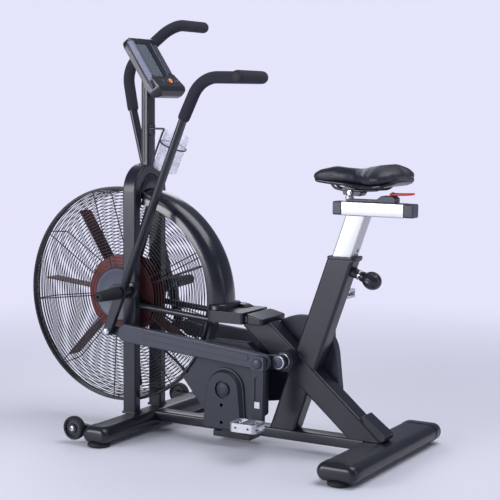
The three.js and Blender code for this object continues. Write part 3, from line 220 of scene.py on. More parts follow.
SATIN_METAL = look("satin_aluminium", "satin_aluminium", (0.55, 0.55, 0.555), 0.42, metal=0.80,
                   shade=0.04, grain=300, depth=0.00002, stretch=(1, 1, 14))
SATIN_BEAM = look("satin_aluminium", "satin_aluminium_beam", (0.58, 0.58, 0.585), 0.40, metal=0.80,
                  shade=0.05, grain=300, depth=0.00002, stretch=(1, 14, 14))
BRIGHT = look("bright_aluminium", "cast_aluminium", (0.56, 0.57, 0.60), 0.34, metal=0.85, shade=0.10,
              grain=500, depth=0.0001)
CHROME = look("chrome", "chrome", (0.72, 0.73, 0.76), 0.10, metal=1.0, shade=0.05, grain=300,
              depth=0.00001, rough_spread=0.04)
STEEL = look("steel", "turned_steel", (0.50, 0.51, 0.54), 0.30, metal=1.0, shade=0.1, grain=600,
             depth=0.00003, stretch=(1, 10, 1))
RED = look("lever_red", "red_moulded_lever", (0.62, 0.035, 0.025), 0.32, shade=0.08, grain=1500,
           depth=0.00003)
LEATHER = look("saddle_cover", "black_saddle_cover", (0.0090, 0.0098, 0.0180), 0.44, shade=0.2, grain=700,
               depth=0.00012, cells=900)
SHELL = look("black_plastic", "saddle_base_plastic", (0.006, 0.0065, 0.011), 0.32, shade=0.15, grain=1500,
             depth=0.00004)
CLEAR = look("clear_plastic", "frosted_clear_plastic", (0.62, 0.62, 0.74), 0.30, shade=0.03, grain=400,
             depth=0.00003, see_through=0.6, alpha=0.30)
SILVER = look("satin_aluminium", "silver_trim", (0.17, 0.175, 0.25), 0.48, metal=0.20, shade=0.06,
              grain=900, depth=0.00002)
ORANGE = look("button_orange", "orange_key", (0.86, 0.30, 0.07), 0.4, shade=0.06, grain=900,
              depth=0.00004)
KEYS = look("rubber", "printed_key_sheet", (0.055, 0.058, 0.075), 0.5, shade=0.2, grain=1400,
            depth=0.0001, cells=420)


def screen_look():
    """A grey-green display: a faint grid of unlit segments behind a glossy window."""
    made = look("screen", "display_window", (0.105, 0.130, 0.150), 0.10, shade=0.08, grain=300,
                depth=0.00001, coat=0.5, rough_spread=0.03)
    tree = made.material.node_tree
    shader = tree.nodes["Principled BSDF"]
    base = shader.inputs["Base Color"].links[0].from_socket
    where = [n for n in tree.nodes if n.type == "TEX_COORD"][0]
    cells = add_node(tree, "ShaderNodeTexBrick", Scale=1.0)
    cells.inputs["Brick Width"].default_value = 0.012
    cells.inputs["Row Height"].default_value = 0.009
    cells.inputs["Mortar Size"].default_value = 0.0012
    cells.inputs["Color1"].default_value = (0.065, 0.085, 0.100, 1)
    cells.inputs["Color2"].default_value = (0.085, 0.108, 0.124, 1)
    cells.inputs["Mortar"].default_value = (0.130, 0.160, 0.178, 1)
    link(tree, where, "Object", cells, "Vector")
    blend = tree.nodes.new("ShaderNodeMixRGB")
    blend.inputs["Fac"].default_value = 0.55
    tree.links.new(base, blend.inputs["Color1"])
    link(tree, cells, "Color", blend, "Color2")
    link(tree, blend, "Color", shader, "Base Color")
    return made


SCREEN = screen_look()

# ------------------------------------------------------------------ geometry: (points, faces)


def joined(*parts):
    """Several geometries as one."""
    points, faces = [], []
    for more_points, more_faces in parts:
        start = len(points)
        points += more_points
        faces += [[i + start for i in face] for face in more_faces]
    return points, faces


def moved(part, matrix):
    return [matrix @ Vector(p) for p in part[0]], part[1]


def sheet_rings(rings, closed=False, caps=True):
    """Quads between rings of the same length; closed joins the last ring to the first."""
    count = len(rings[0])
    points = [p for ring in rings for p in ring]
    faces = []
    for i in range(len(rings) if closed else len(rings) - 1):
        here, there = i * count, (i + 1) % len(rings) * count
        for k in range(count):
            after = (k + 1) % count
            faces.append([here + k, here + after, there + after, there + k])
    if caps and not closed:
        faces.append(list(range(count))[::-1])
        faces.append([len(points) - count + k for k in range(count)])
    return points, faces


def ring_at(outline, height, axis="Y"):
    """An outline at a height along an axis: its pairs are (x, z) for Y, (y, z) for X and (x, y) for Z."""
    if axis == "Y":
        return [Vector((a, height, b)) for a, b in outline]
    if axis == "X":
        return [Vector((height, a, b)) for a, b in outline]
    return [Vector((a, b, height)) for a, b in outline]


def prism(outline, low, high, axis="Y"):
    """An outline extruded along an axis."""
    return sheet_rings([ring_at(outline, h, axis) for h in (low, high)])


def beside(side, near, far):
    """The low and the high Y between two distances from the middle, on one side of the bike."""
    return sorted((side * near, side * far))


def block(low, high):
    outline = [(low[0], low[2]), (high[0], low[2]), (high[0], high[2]), (low[0], high[2])]
    return prism(outline, low[1], high[1])


def rounded(points, radius, steps=5):
    """A closed outline with every corner rounded; radius is one number or one per corner."""
    count = len(points)
    radii = radius if isinstance(radius, (list, tuple)) else [radius] * count
    outline = []
    for i, (x, y) in enumerate(points):
        here = Vector((x, y))
        before = Vector(points[i - 1]) - here
        after = Vector(points[(i + 1) % count]) - here
        if radii[i] <= 0:
            outline.append((x, y))
            continue
        half = before.angle(after) / 2
        reach = min(radii[i] / math.tan(half), before.length * 0.499, after.length * 0.499)
        size = reach * math.tan(half)
        bisector = (before.normalized() + after.normalized()).normalized()
        centre = here + bisector * (size / math.sin(half))
        start = here + before.normalized() * reach - centre
        end = here + after.normalized() * reach - centre
        turn = math.atan2(start.x * end.y - start.y * end.x, start.dot(end))
        for k in range(steps + 1):
            spoke = Matrix.Rotation(turn * k / steps, 2) @ start
            outline.append(tuple(centre + spoke))
    return outline


def rect(width, height, radius, steps=5, centre=(0, 0)):
    x, y = width / 2, height / 2
    outline = rounded([(-x, -y), (x, -y), (x, y), (-x, y)], radius, steps)
    return [(a + centre[0], b + centre[1]) for a, b in outline]


def circle(radius, count=40, centre=(0, 0)):
    angles = [2 * math.pi * k / count for k in range(count)]
    return [(centre[0] + radius * math.cos(a), centre[1] + radius * math.sin(a)) for a in angles]


def hull(circles, count=20):
    """A tight outline round circles (x, y, radius) listed anticlockwise."""
    total = len(circles)
    headings = []
    for i, (x0, y0, r0) in enumerate(circles):
        x1, y1, r1 = circles[(i + 1) % total]
        reach = math.hypot(x1 - x0, y1 - y0)
        headings.append(math.atan2(y1 - y0, x1 - x0) - math.pi / 2 - math.asin((r1 - r0) / reach))
    outline = []
    for i, (x, y, r) in enumerate(circles):
        start = headings[i - 1]
        sweep = (headings[i] - start) % (2 * math.pi)
        steps = max(2, math.ceil(count * sweep / math.pi))
        for k in range(steps + 1):
            angle = start + sweep * k / steps
            outline.append((x + r * math.cos(angle), y + r * math.sin(angle)))
    return outline


def lathe(profile, segments=48):
    """Revolves (radius, height) pairs about Z; ends that meet the axis close to a cap."""
    rings = []
    for k in range(segments):
        c, s = math.cos(2 * math.pi * k / segments), math.sin(2 * math.pi * k / segments)
        rings.append([Vector((r * c, r * s, h)) for r, h in profile])
    count = len(profile)
    points = [p for ring in rings for p in ring]
    faces = []
    loop = profile[0] == profile[-1]
    for i in range(segments):
        here, there = i * count, (i + 1) % segments * count
        for k in range(count - 1):
            faces.append([here + k, there + k, there + k + 1, here + k + 1])
    if not loop:
        faces.append([i * count for i in range(segments)])
        faces.append([i * count + count - 1 for i in range(segments)][::-1])
    return points, faces


def turned(profile, place, segments=48):
    """A lathe's shape, put in its place."""
    return moved(lathe(profile, segments), place)


def mirrored(profile, side):
    """A lathe profile measured outwards from the middle, for one side of the bike."""
    return [(radius, side * height) for radius, height in profile]


def axis_y(x, y, z):
    """Puts a lathe's Z axis along +Y at a point."""
    return Matrix.Translation((x, y, z)) @ Matrix.Rotation(-math.pi / 2, 4, "X")


ON_FAN_AXLE = axis_y(*FAN)
ON_CRANK_AXLE = axis_y(0, 0, AXLE_Z)


def rod(start, end, radius, segments=16):
    start, end = Vector(start), Vector(end)
    turn = (end - start).to_track_quat("Z", "Y").to_matrix().to_4x4()
    flat = [(radius, 0), (radius, (end - start).length)]
    return turned(flat, Matrix.Translation(start) @ turn, segments)


def ring_wire(radius, y, thickness, segments=110, sides=6):
    """A wire hoop about the Y axis."""
    rings = []
    for i in range(segments):
        a = 2 * math.pi * i / segments
        out = Vector((math.cos(a), 0, math.sin(a)))
        ring = []
        for k in range(sides):
            b = 2 * math.pi * k / sides
            across = Vector((0, y + thickness * math.sin(b), 0))
            ring.append(out * (radius + thickness * math.cos(b)) + across)
        rings.append(ring)
    return sheet_rings(rings, closed=True)


def bent(points, radii, steps=10):
    """A path through corners, each turned into an arc."""
    corners = [Vector(p) for p in points]
    path = [corners[0]]
    for i in range(1, len(corners) - 1):
        here = corners[i]
        before, after = corners[i - 1] - here, corners[i + 1] - here
        half = before.angle(after) / 2
        reach = min(radii[i - 1] / math.tan(half), before.length * 0.48, after.length * 0.48)
        size = reach * math.tan(half)
        centre = here + (before.normalized() + after.normalized()).normalized() * (size / math.sin(half))
        start = here + before.normalized() * reach - centre
        end = here + after.normalized() * reach - centre
        for k in range(steps + 1):
            path.append(centre + start.normalized().slerp(end.normalized(), k / steps) * start.length)
    path.append(corners[-1])
    return path


def sweep(path, profile, up=Vector((0, 1, 0)), caps=True):
    """A closed profile carried along a path; profile's first number runs along up."""
    rings = []
    side = up.normalized()
    for i, here in enumerate(path):
        ahead = (path[min(i + 1, len(path) - 1)] - path[max(i - 1, 0)]).normalized()
        side = (side - ahead * side.dot(ahead)).normalized()
        across = ahead.cross(side)
        size = profile(i / (len(path) - 1)) if callable(profile) else profile
        rings.append([here + side * a + across * b for a, b in size])
    return sheet_rings(rings, caps=caps)


def even(path, count):
    """The same path with equal steps."""
    lengths = [0.0]
    for a, b in zip(path, path[1:]):
        lengths.append(lengths[-1] + (b - a).length)
    out, k = [], 0
    for i in range(count):
        want = lengths[-1] * i / (count - 1)
        while k < len(path) - 2 and lengths[k + 1] < want:
            k += 1
        share = (want - lengths[k]) / max(1e-9, lengths[k + 1] - lengths[k])
        out.append(path[k].lerp(path[k + 1], min(1.0, share)))
    return out


# ------------------------------------------------------------------ pieces


def mesh_object(name, part):
    mesh = bpy.data.meshes.new(name)
    mesh.from_pydata([tuple(Vector(p) + CRANK_AXLE) for p in part[0]], [], part[1])
    work = bmesh.new()
    work.from_mesh(mesh)
    bmesh.ops.remove_doubles(work, verts=work.verts, dist=1e-6)
    bmesh.ops.recalc_face_normals(work, faces=work.faces)
    work.to_mesh(mesh)
    work.free()
    made = bpy.data.objects.new(name, mesh)
    bpy.context.scene.collection.objects.link(made)
    return made


def cut_away(made, *cutters):
    """Cuts closed geometries out of an object's mesh."""
    for part in cutters:
        tool = mesh_object(made.name + "_cutter", part)
        step = made.modifiers.new("cut", "BOOLEAN")
        step.operation, step.solver, step.object = "DIFFERENCE", "EXACT", tool
        bpy.context.view_layer.update()
        result = made.evaluated_get(bpy.context.evaluated_depsgraph_get())
        mesh = bpy.data.meshes.new_from_object(result)
        made.modifiers.clear()
        made.data = mesh
        bpy.data.objects.remove(tool)


def dress(made, finish, bevel=0.0, segments=3, angle=30):
    """Gives an object its material, softened edges and smooth shading."""
    made.data.materials.clear()
    made.data.materials.append(finish.material)
    made.data.shade_smooth()
    if bevel:
        edge = made.modifiers.new("bevel", "BEVEL")
        edge.width, edge.segments = bevel, segments
        edge.limit_method, edge.angle_limit = "ANGLE", math.radians(angle)
        even_out = made.modifiers.new("normals", "WEIGHTED_NORMAL")
        even_out.weight = 100
    else:
        made.data.set_sharp_from_angle(angle=math.radians(angle))


def piece(name, body, finish, part, bevel=0.0, replaces=(), cuts=(), segments=3, angle=30):
    made = mesh_object(name, part)
    cut_away(made, *cuts)
    dress(made, finish, bevel, segments, angle)
    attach(made, body)
    if replaces:
        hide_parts(*replaces)
    return made


def keep(node, finish, bevel=0.0, segments=2):
    """A CAD node that stays as it is, with softened edges and its finish."""
    made = frame["nodes"][node]
    weld = made.modifiers.new("weld", "WELD")
    weld.merge_threshold = 1e-5
    dress(made, finish, bevel, segments, 35)
    return made


def bolt(at, axis, radius, height, socket=True):
    """A button-head bolt standing on a face; the head has a hexagonal socket."""
    profile = [(radius * 0.98, 0), (radius, height * 0.25), (radius * 0.93, height * 0.6),
               (radius * 0.72, height * 0.92), (radius * 0.5, height)]
    if socket:
        profile += [(radius * 0.46, height), (radius * 0.44, height * 0.45)]
    turn = Vector(axis).to_track_quat("Z", "Y").to_matrix().to_4x4()
    return turned(profile, Matrix.Translation(Vector(at)) @ turn, 24)


def dome(at, axis, radius, height):
    """A plain domed cap."""
    profile = [(radius, 0), (radius, height * 0.35)]
    for k in range(1, 7):
        a = math.pi / 2 * k / 7
        profile.append((radius * math.cos(a), height * (0.35 + 0.65 * math.sin(a))))
    turn = Vector(axis).to_track_quat("Z", "Y").to_matrix().to_4x4()
    return turned(profile, Matrix.Translation(Vector(at)) @ turn, 32)


# ------------------------------------------------------------------ fan and cage

RING_COUNT = 25
CAGE_SLOPE = 0.013
SIDE_HOOPS = 8
RIM_WIDTH = 0.024
SPOKE_COUNT = 9
SPOKE_PHASE = math.radians(187)
SPOKE_RADIUS = 0.0016
WIRE_RADIUS = 0.00125
HUB_PLATE_RADIUS = 0.077
BLADE_COUNT = 7
BLADE_PHASE = math.radians(20)


def face_rings(side, inner, outer):
    """The wire rings on a guard's flat face."""
    face = side * (CAGE_FACE - WIRE_RADIUS)
    return [ring_wire(inner + (outer - inner) * i / (RING_COUNT - 1), face, WIRE_RADIUS)
            for i in range(RING_COUNT)]


def spokes(corners, radii):
    """Bent spokes; corners are (distance from the axle, y) pairs."""
    made = []
    for i in range(SPOKE_COUNT):
        a = SPOKE_PHASE - 2 * math.pi * i / SPOKE_COUNT
        out, up = Vector((math.cos(a), 0, math.sin(a))), Vector((-math.sin(a), 0, math.cos(a)))
        path = [out * r + Vector((0, y, 0)) for r, y in corners]
        made.append(sweep(bent(path, radii, 6) if radii else path, circle(SPOKE_RADIUS, 8), up=up))
    return made


def build_cage():
    """The left guard is a flat grille in a rim band; the right guard is a deep basket behind it."""
    rim, inner = CAGE_RADIUS - 0.0005, HUB_PLATE_RADIUS + 0.003
    band_end = -CAGE_FACE + RIM_WIDTH
    behind = CAGE_FACE - 3 * WIRE_RADIUS
    wires = face_rings(LEFT, inner, rim - 0.007)
    wires += spokes([(inner - 0.006, -behind), (rim - 0.003, -behind)], [])
    piece("cage_wires_left", "root", WIRE, moved(joined(*wires), Matrix.Translation(FAN)))
    band = [(rim - 0.0020, band_end), (rim, band_end), (rim, -CAGE_FACE + 0.002),
            (rim - 0.0015, -CAGE_FACE), (rim - 0.0050, -CAGE_FACE), (rim - 0.0050, -CAGE_FACE + 0.002),
            (rim - 0.0020, -CAGE_FACE + 0.003), (rim - 0.0020, band_end)]
    piece("cage_rim_left", "root", WIRE, turned(band, ON_FAN_AXLE, 144), replaces=["fan_cage_left"],
          angle=40)

    start, shoulder, wall_end = band_end + 0.0015, rim - CAGE_SLOPE, CAGE_FACE - 0.006
    wires = face_rings(RIGHT, inner, shoulder - 0.006)
    for i in range(SIDE_HOOPS):
        share = i / (SIDE_HOOPS - 1)
        radius = rim - 0.002 + (shoulder - rim) * share
        y = start + 0.003 + (wall_end - start - 0.003) * share
        wires.append(ring_wire(radius, y, WIRE_RADIUS, 144))
    edge = [(inner - 0.006, behind), (shoulder - 0.002, behind), (rim - 0.004, start)]
    wires += spokes(edge, [0.012])
    piece("cage_wires_right", "root", WIRE, moved(joined(*wires), Matrix.Translation(FAN)))
    band = [(rim - 0.0035, start), (rim - 0.0010, start), (rim - 0.0010, start + 0.004),
            (rim - 0.0035, start + 0.004), (rim - 0.0035, start)]
    piece("cage_rim_right", "root", WIRE, turned(band, ON_FAN_AXLE, 144), replaces=["fan_cage_right"],
          angle=40)
    for side in SIDES:
        build_hub_plate(side)


def build_hub_plate(side):
    """The stepped round plate at the middle of a guard."""
    plate_in, plate_out = CAGE_FACE - 0.005, CAGE_FACE + 0.0008
    edge = [(0.0095, plate_in), (HUB_PLATE_RADIUS, plate_in),
            (HUB_PLATE_RADIUS + 0.002, plate_in + 0.002), (HUB_PLATE_RADIUS - 0.001, plate_out),
            (HUB_PLATE_RADIUS - 0.010, plate_out), (HUB_PLATE_RADIUS - 0.013, plate_out - 0.0015),
            (0.030, plate_out - 0.0015), (0.028, plate_out), (0.0095, plate_out), (0.0095, plate_in)]
    piece(f"hub_plate_{SIDE_NAME[side]}", "root", HUB_GREY, turned(mirrored(edge, side), ON_FAN_AXLE, 80))


def build_rotor():
    """Two discs on a drum, seven flat blades with rivets, and the belt pulley on the left."""
    rotor = span("fan_rotor")
    disc, root, tip, half, thick = 0.116, 0.030, 0.286, 0.028, 0.0032
    parts = []
    for y in (-half - 0.001, half - 0.001):
        profile = [(root, y), (disc - 0.004, y), (disc, y + 0.001), (disc - 0.004, y + 0.002),
                   (root, y + 0.002), (root, y)]
        parts.append(turned(profile, ON_FAN_AXLE, 72))
    drum = [(0.0088, -0.033), (0.034, -0.033), (0.034, 0.033), (0.0088, 0.033), (0.0088, -0.033)]
    parts.append(turned(drum, ON_FAN_AXLE, 40))
    piece("rotor_hub", "fan", FAN_RED, joined(*parts), replaces=["fan_rotor"])
    blades = []
    outline = rounded([(root, -half), (tip, -half), (tip, half), (root, half)], [0, 0.007, 0.007, 0], 4)
    for i in range(BLADE_COUNT):
        angle = BLADE_PHASE + 2 * math.pi * i / BLADE_COUNT
        turn = Matrix.Translation(FAN) @ Matrix.Rotation(-angle, 4, "Y")
        blades.append(moved(prism(outline, -thick / 2, thick / 2, "Z"), turn))
        for y in (-half * 0.55, half * 0.55):
            rivet = dome((0.100, y, thick / 2), (0, 0, 1), 0.004, 0.002)
            blades.append(moved(rivet, turn))
    piece("rotor_blades", "fan", BLADE_RED, joined(*blades), bevel=0.0006, segments=2)
    groove = [(0.0088, 0), (0.029, 0), (0.029, 0.0012), (0.026, 0.0014), (0.026, 0.0092), (0.029, 0.0096),
              (0.029, 0.0105), (0.0088, 0.0105), (0.0088, 0)]
    piece("fan_pulley", "fan", STEEL, turned(groove, axis_y(FAN.x, rotor.low.y, FAN.z), 40))


DUCT_CENTRE = Vector((FAN.x + 0.035, 0, FAN.z - 0.008))
DUCT_RADIUS = 0.3300
DUCT_SIDES = 24
ARCH_INNER = POST.high.y - 0.030
DUCT_START, DUCT_END = math.radians(-0.8), math.radians(79.4)


def duct_section():
    """Outer skin, then inner skin, of the rounded fender, as (across, out) pairs from its crown."""
    half, depth, wall, power = 0.0525, 0.045, 0.003, 0.80
    outer, inner = [], []
    for k in range(DUCT_SIDES + 1):
        a = math.pi * k / DUCT_SIDES
        x = math.copysign(abs(math.cos(a)) ** power, math.cos(a))
        y = abs(math.sin(a)) ** power
        outer.append((half * x, depth * (y - 1)))
        inner.append(((half - wall) * x, (depth - wall) * y - depth))
    return outer + inner[::-1]


def build_duct():
    """The fender's section carried along its arc, from the top cover up to the arch."""
    path = []
    for k in range(49):
        a = DUCT_START + (DUCT_END - DUCT_START) * k / 48
        path.append(DUCT_CENTRE + Vector((math.cos(a), 0, math.sin(a))) * DUCT_RADIUS)
    rings = []
    for crown in path:
        out = (crown - DUCT_CENTRE).normalized()
        rings.append([crown + Vector((0, 1, 0)) * a + out * b for a, b in duct_section()])
    piece("wind_duct_shell", "root", DUCT_GLOSS, sheet_rings(rings), replaces=["wind_duct"], angle=50)
    build_hood()


def build_hood():
    """The black wall that closes the arch under its crown, in front of the duct's upper end."""
    radius = ARCH_INNER - 0.0006
    spring = POST.high.z - POST.high.y
    cheek = 0.665
    x_low, x_high = -0.500, -0.4875
    opening_radius, opening_drop = 0.046, 0.026

    def wall(reach, low):
        angles = [math.pi * k / 32 for k in range(33)]
        arc = [(reach * math.cos(a), spring + reach * math.sin(a)) for a in angles]
        return [(reach, low), *arc, (-reach, low)]

    face = prism(wall(radius, cheek), x_low, x_high, "X")
    opening = prism(wall(opening_radius, cheek - 0.02), x_low - 0.01, x_high + 0.01, "X")
    piece("crown_hood", "root", DUCT_GLOSS, face, bevel=0.002,
          cuts=[moved(opening, Matrix.Translation((0, 0, -opening_drop)))])
    rings = []
    for share, rise in ((0.94, -0.001), (0.94, 0.0025), (0.80, 0.0045), (0.55, 0.0055)):
        rings.append(ring_at(wall(radius * share, spring - 0.020), x_high + rise, "X"))
    piece("crown_ridge", "root", DUCT_GLOSS, sheet_rings(rings), angle=50)


def build_fan():
    """The cage, the nuts on the fan's axle, the rotor and the duct behind them."""
    build_cage()
    y = span("fan_axle").high.y
    for side in SIDES:
        hexagon = circle(0.0125, 6, (FAN.x, FAN.z))
        nut = prism(hexagon, *beside(side, y - 0.012, y - 0.003))
        piece(f"axle_nut_{SIDE_NAME[side]}", "root", STEEL, nut, bevel=0.0012)
        end = dome((FAN.x, side * (y - 0.003), FAN.z), (0, side, 0), 0.0075, 0.003)
        stands_for = ["fan_axle"] if side == LEFT else ()
        piece(f"axle_end_{SIDE_NAME[side]}", "root", STEEL, end, replaces=stands_for)
    build_rotor()
    build_duct()


# ------------------------------------------------------------------ frame


def on_spine(part):
    """Local X down the spine towards the rear, Z square to it."""
    return moved(part, Matrix.Translation(SPINE_POINT) @ Matrix.Rotation(SPINE_DROP, 4, "Y"))


def on_seat(part):
    """Local Z up the seat tube, X to its rear face."""
    return moved(part, Matrix.Translation(SEAT_POINT) @ Matrix.Rotation(SEAT_LEAN, 4, "Y"))


def on_pin(out):
    """Puts a lathe's Z axis along the pop pin, whose place is in the seat tube's own frame."""
    return Matrix.Translation((out, 0, POP_PIN_Z)) @ Matrix.Rotation(math.pi / 2, 4, "Y")


def on_console(part):
    """Local X down the display's face, Z out of it."""
    return moved(part, Matrix.Translation(CONSOLE_POINT) @ Matrix.Rotation(CONSOLE_SLOPE, 4, "Y"))


def build_arch():
    """The arch over the fan, with its two side tubes, axle brackets and weld beads."""
    outer, inner = POST.high.y, ARCH_INNER
    spring = POST.high.z - outer
    foot = span("front_stabilizer").high.z - 0.004
    x_low, x_high = PIVOT.x - 0.030, PIVOT.x + 0.014
    arc = [math.pi * k / 40 for k in range(41)]
    outside = [(outer * math.cos(a), spring + outer * math.sin(a)) for a in arc]
    inside = [(inner * math.cos(a), spring + inner * math.sin(a)) for a in reversed(arc)]
    outline = [(outer, foot), *outside, (-outer, foot), (-inner, foot), *inside, (inner, foot)]
    piece("arch_tube", "root", PAINT, prism(outline, x_low, x_high, "X"), bevel=0.005, segments=4,
          replaces=["arch_frame"], angle=60)
    tube_y, tube_radius, tube_front_z, tube_rear_x, tube_rear_z = 0.062, 0.009, 0.377, -0.240, 0.3565
    for side in SIDES:
        name = SIDE_NAME[side]
        y = side * tube_y
        front, rear = Vector((x_high - 0.004, y, tube_front_z)), Vector((tube_rear_x, y, tube_rear_z))
        piece(f"side_tube_{name}", "root", PAINT, rod(front, rear, tube_radius, 32))
        low, high = beside(side, CAGE_FACE + 0.002, CAGE_FACE + 0.009)
        plate = rounded([(x_low + 0.002, FAN.z - 0.014), (x_low + 0.002, FAN.z + 0.030),
                         (FAN.x - 0.010, FAN.z + 0.030), (FAN.x - 0.028, FAN.z + 0.014),
                         (FAN.x - 0.028, FAN.z - 0.014)], 0.003, 3)
        piece(f"axle_bracket_{name}", "root", PAINT, prism(plate, low, high), bevel=0.001)
        weld_low, weld_high = beside(side, inner, outer)
        bead = rect(x_high - x_low + 0.006, weld_high - weld_low + 0.006, 0.004, 4,
                    ((x_low + x_high) / 2, (weld_low + weld_high) / 2))
        piece(f"arch_weld_{name}", "root", PAINT, prism(bead, foot, foot + 0.0075, "Z"), bevel=0.003)


def build_mast():
    """The console's post, with a groove down its left face."""
    mast = span("console_mast")
    top = mast.high.z - 0.006
    x, half = mast.mid.x, mast.size.y / 2
    groove = block((x, -half - 0.001, POST.high.z + 0.004), (x + 0.0035, -half + 0.0015, top - 0.03))
    body = prism(rect(mast.size.x, mast.size.y, 0.006, 5, (x, 0)), POST.high.z - 0.004, top, "Z")
    piece("mast_tube", "root", PAINT, body, replaces=["console_mast"], cuts=[groove], angle=40)


def build_rear_frame():
    """The slanting spine, and the hollow seat tube with its collar, pin boss and wedge."""
    spine = prism(rect(SPINE_DEPTH, SPINE_WIDTH, 0.007, 5), -0.170, 0.345, "X")
    floor_cut = block((-0.4, -0.1, -0.2), (0.5, 0.1, BEAM.high.z + 0.0005))
    top_cover = span("top_cover")
    roof_cut = block((-0.4, -0.1, top_cover.high.z - 0.030), (top_cover.high.x, 0.1, 0.6))
    piece("spine_tube", "root", PAINT, on_spine(spine), replaces=["rear_frame"],
          cuts=[floor_cut, roof_cut], bevel=0.0015, angle=50)
    collar = span("seat_collar")
    tube = on_seat(prism(rect(SEAT_TUBE_DEPTH, SEAT_TUBE_WIDTH, 0.009, 5), -0.640, 0.020, "Z"))
    level_cut = block((-0.1, -0.1, collar.low.z - 0.0003), (0.5, 0.1, 0.9))
    bore_end = POST_END - SEAT_TRAVEL_DOWN - 0.022
    bore = on_seat(prism(rect(POST_DEPTH + BORE_PLAY, POST_WIDTH + BORE_PLAY, 0.008, 5), bore_end, 0.05,
                         "Z"))
    piece("seat_tube", "root", PAINT, tube, cuts=[floor_cut, level_cut, bore], bevel=0.0012, angle=50)
    boss = [(0.0068, 0), (0.015, 0), (0.0145, 0.006), (0.0125, 0.018), (0.0115, 0.020), (0.0068, 0.020),
            (0.0068, 0)]
    piece("pin_boss", "root", PAINT, on_seat(turned(boss, on_pin(0.0375), 40)))
    stretch = 1 / math.cos(SEAT_LEAN)
    middle = collar.mid.x
    outer = prism(rect(collar.size.x, collar.size.y, 0.012, 6, (middle, 0)), collar.low.z, collar.high.z,
                  "Z")
    hole = prism(rect((POST_DEPTH + 0.003) * stretch, POST_WIDTH + 0.003, 0.008, 5, (middle, 0)),
                 collar.low.z - 0.01, collar.high.z + 0.01, "Z")
    piece("seat_tube_collar", "root", PLASTIC, outer, cuts=[hole], bevel=0.002, replaces=["seat_collar"])
    lip = prism(rect(SEAT_TUBE_DEPTH * stretch + 0.0012, SEAT_TUBE_WIDTH + 0.0012, 0.009, 6, (middle, 0)),
                collar.low.z - 0.0035, collar.low.z - 0.0002, "Z")
    piece("collar_lip", "root", HUB_GREY, lip, cuts=[moved(hole, Matrix.Translation((0, 0, -0.004)))],
          bevel=0.0005)
    toe = hull([(0.250, 0.067, 0.004), (0.287, 0.067, 0.004), (0.288, 0.076, 0.005),
                (0.226, 0.122, 0.005)], 12)
    piece("spine_wedge", "root", PAINT, prism(toe, -0.027, 0.027), bevel=0.0015)


def wire_ring(points, radius=0.0035):
    """A wire bent along a closed run of points, its thickness slightly uneven."""
    count = len(points)
    rings = []
    for i, here in enumerate(points):
        ahead = (points[(i + 1) % count] - points[i - 1]).normalized()
        side = ahead.orthogonal().normalized()
        across = ahead.cross(side)
        size = radius * (1 + 0.12 * math.sin(i * 1.9))
        rings.append([here + (side * math.cos(a) + across * math.sin(a)) * size
                      for a in (math.pi / 4 * k for k in range(8))])
    return sheet_rings(rings, closed=True)


def build_base():
    """The floor beam, its two cross tubes, their caps and feet, and the transport wheels."""
    beam = prism(rect(0.050, 0.030, 0.005, 4, (0, BEAM.mid.z)), span("front_stabilizer").high.x - 0.010,
                 span("rear_stabilizer").low.x + 0.010, "X")
    piece("main_beam_tube", "root", PAINT, beam, replaces=["main_beam"], angle=40)
    for end in ("front", "rear"):
        tube = span(f"{end}_stabilizer")
        section = rect(tube.size.x, tube.size.z, tube.size.z * 0.4999, 12, (tube.mid.x, tube.mid.z))
        piece(f"{end}_stabilizer_tube", "root", PAINT, prism(section, tube.low.y, tube.high.y),
              replaces=[f"{end}_stabilizer"], angle=40)
        for side in SIDES:
            build_end_cap(end, side, tube)
            build_foot(end, side)
    for side in SIDES:
        build_wheel(side)


def build_end_cap(end, side, tube):
    """A rounded plug on a cross tube; the front ones carry a fork for the transport wheel."""
    name = SIDE_NAME[side]
    rings = []
    inner, outer = tube.high.y, span(f"{end}_end_cap_right").high.y
    length = outer - inner
    for share, shrink in ((-0.02, -0.0012), (0.0, -0.0012), (0.10, -0.0012), (0.62, -0.0008),
                          (0.80, 0.0015), (0.92, 0.006), (0.98, 0.011), (1.0, 0.016)):
        width, height = tube.size.x - 2 * shrink, tube.size.z - 2 * shrink
        section = rect(width, height, min(width, height) * 0.4999, 10, (tube.mid.x, tube.mid.z))
        rings.append(ring_at(section, side * (inner + length * share)))
    piece(f"{end}_cap_{name}", "root", PLASTIC, sheet_rings(rings), replaces=[f"{end}_end_cap_{name}"],
          angle=50)
    if end == "front":
        wheel = span(f"transport_wheel_{name}")
        fork = hull([(tube.mid.x - 0.020, tube.mid.z, 0.017), (wheel.mid.x, wheel.mid.z, 0.012)][::-1])
        reach = abs(wheel.mid.y) - wheel.size.y / 2 - 0.001
        low, high = beside(side, inner + 0.0005, reach)
        piece(f"wheel_fork_{name}", "root", PLASTIC, prism(fork, low, high), bevel=0.002)
        pin_low, pin_high = side * reach, side * (abs(wheel.mid.y) + wheel.size.y / 2 + 0.0005)
        x, z = wheel.mid.x, wheel.mid.z
        piece(f"wheel_pin_{name}", "root", STEEL, rod((x, pin_low, z), (x, pin_high, z), 0.005, 24))
        head = bolt((x, pin_high - side * 0.0008, z), (0, side, 0), 0.0085, 0.004)
        piece(f"wheel_bolt_{name}", "root", STEEL, head)


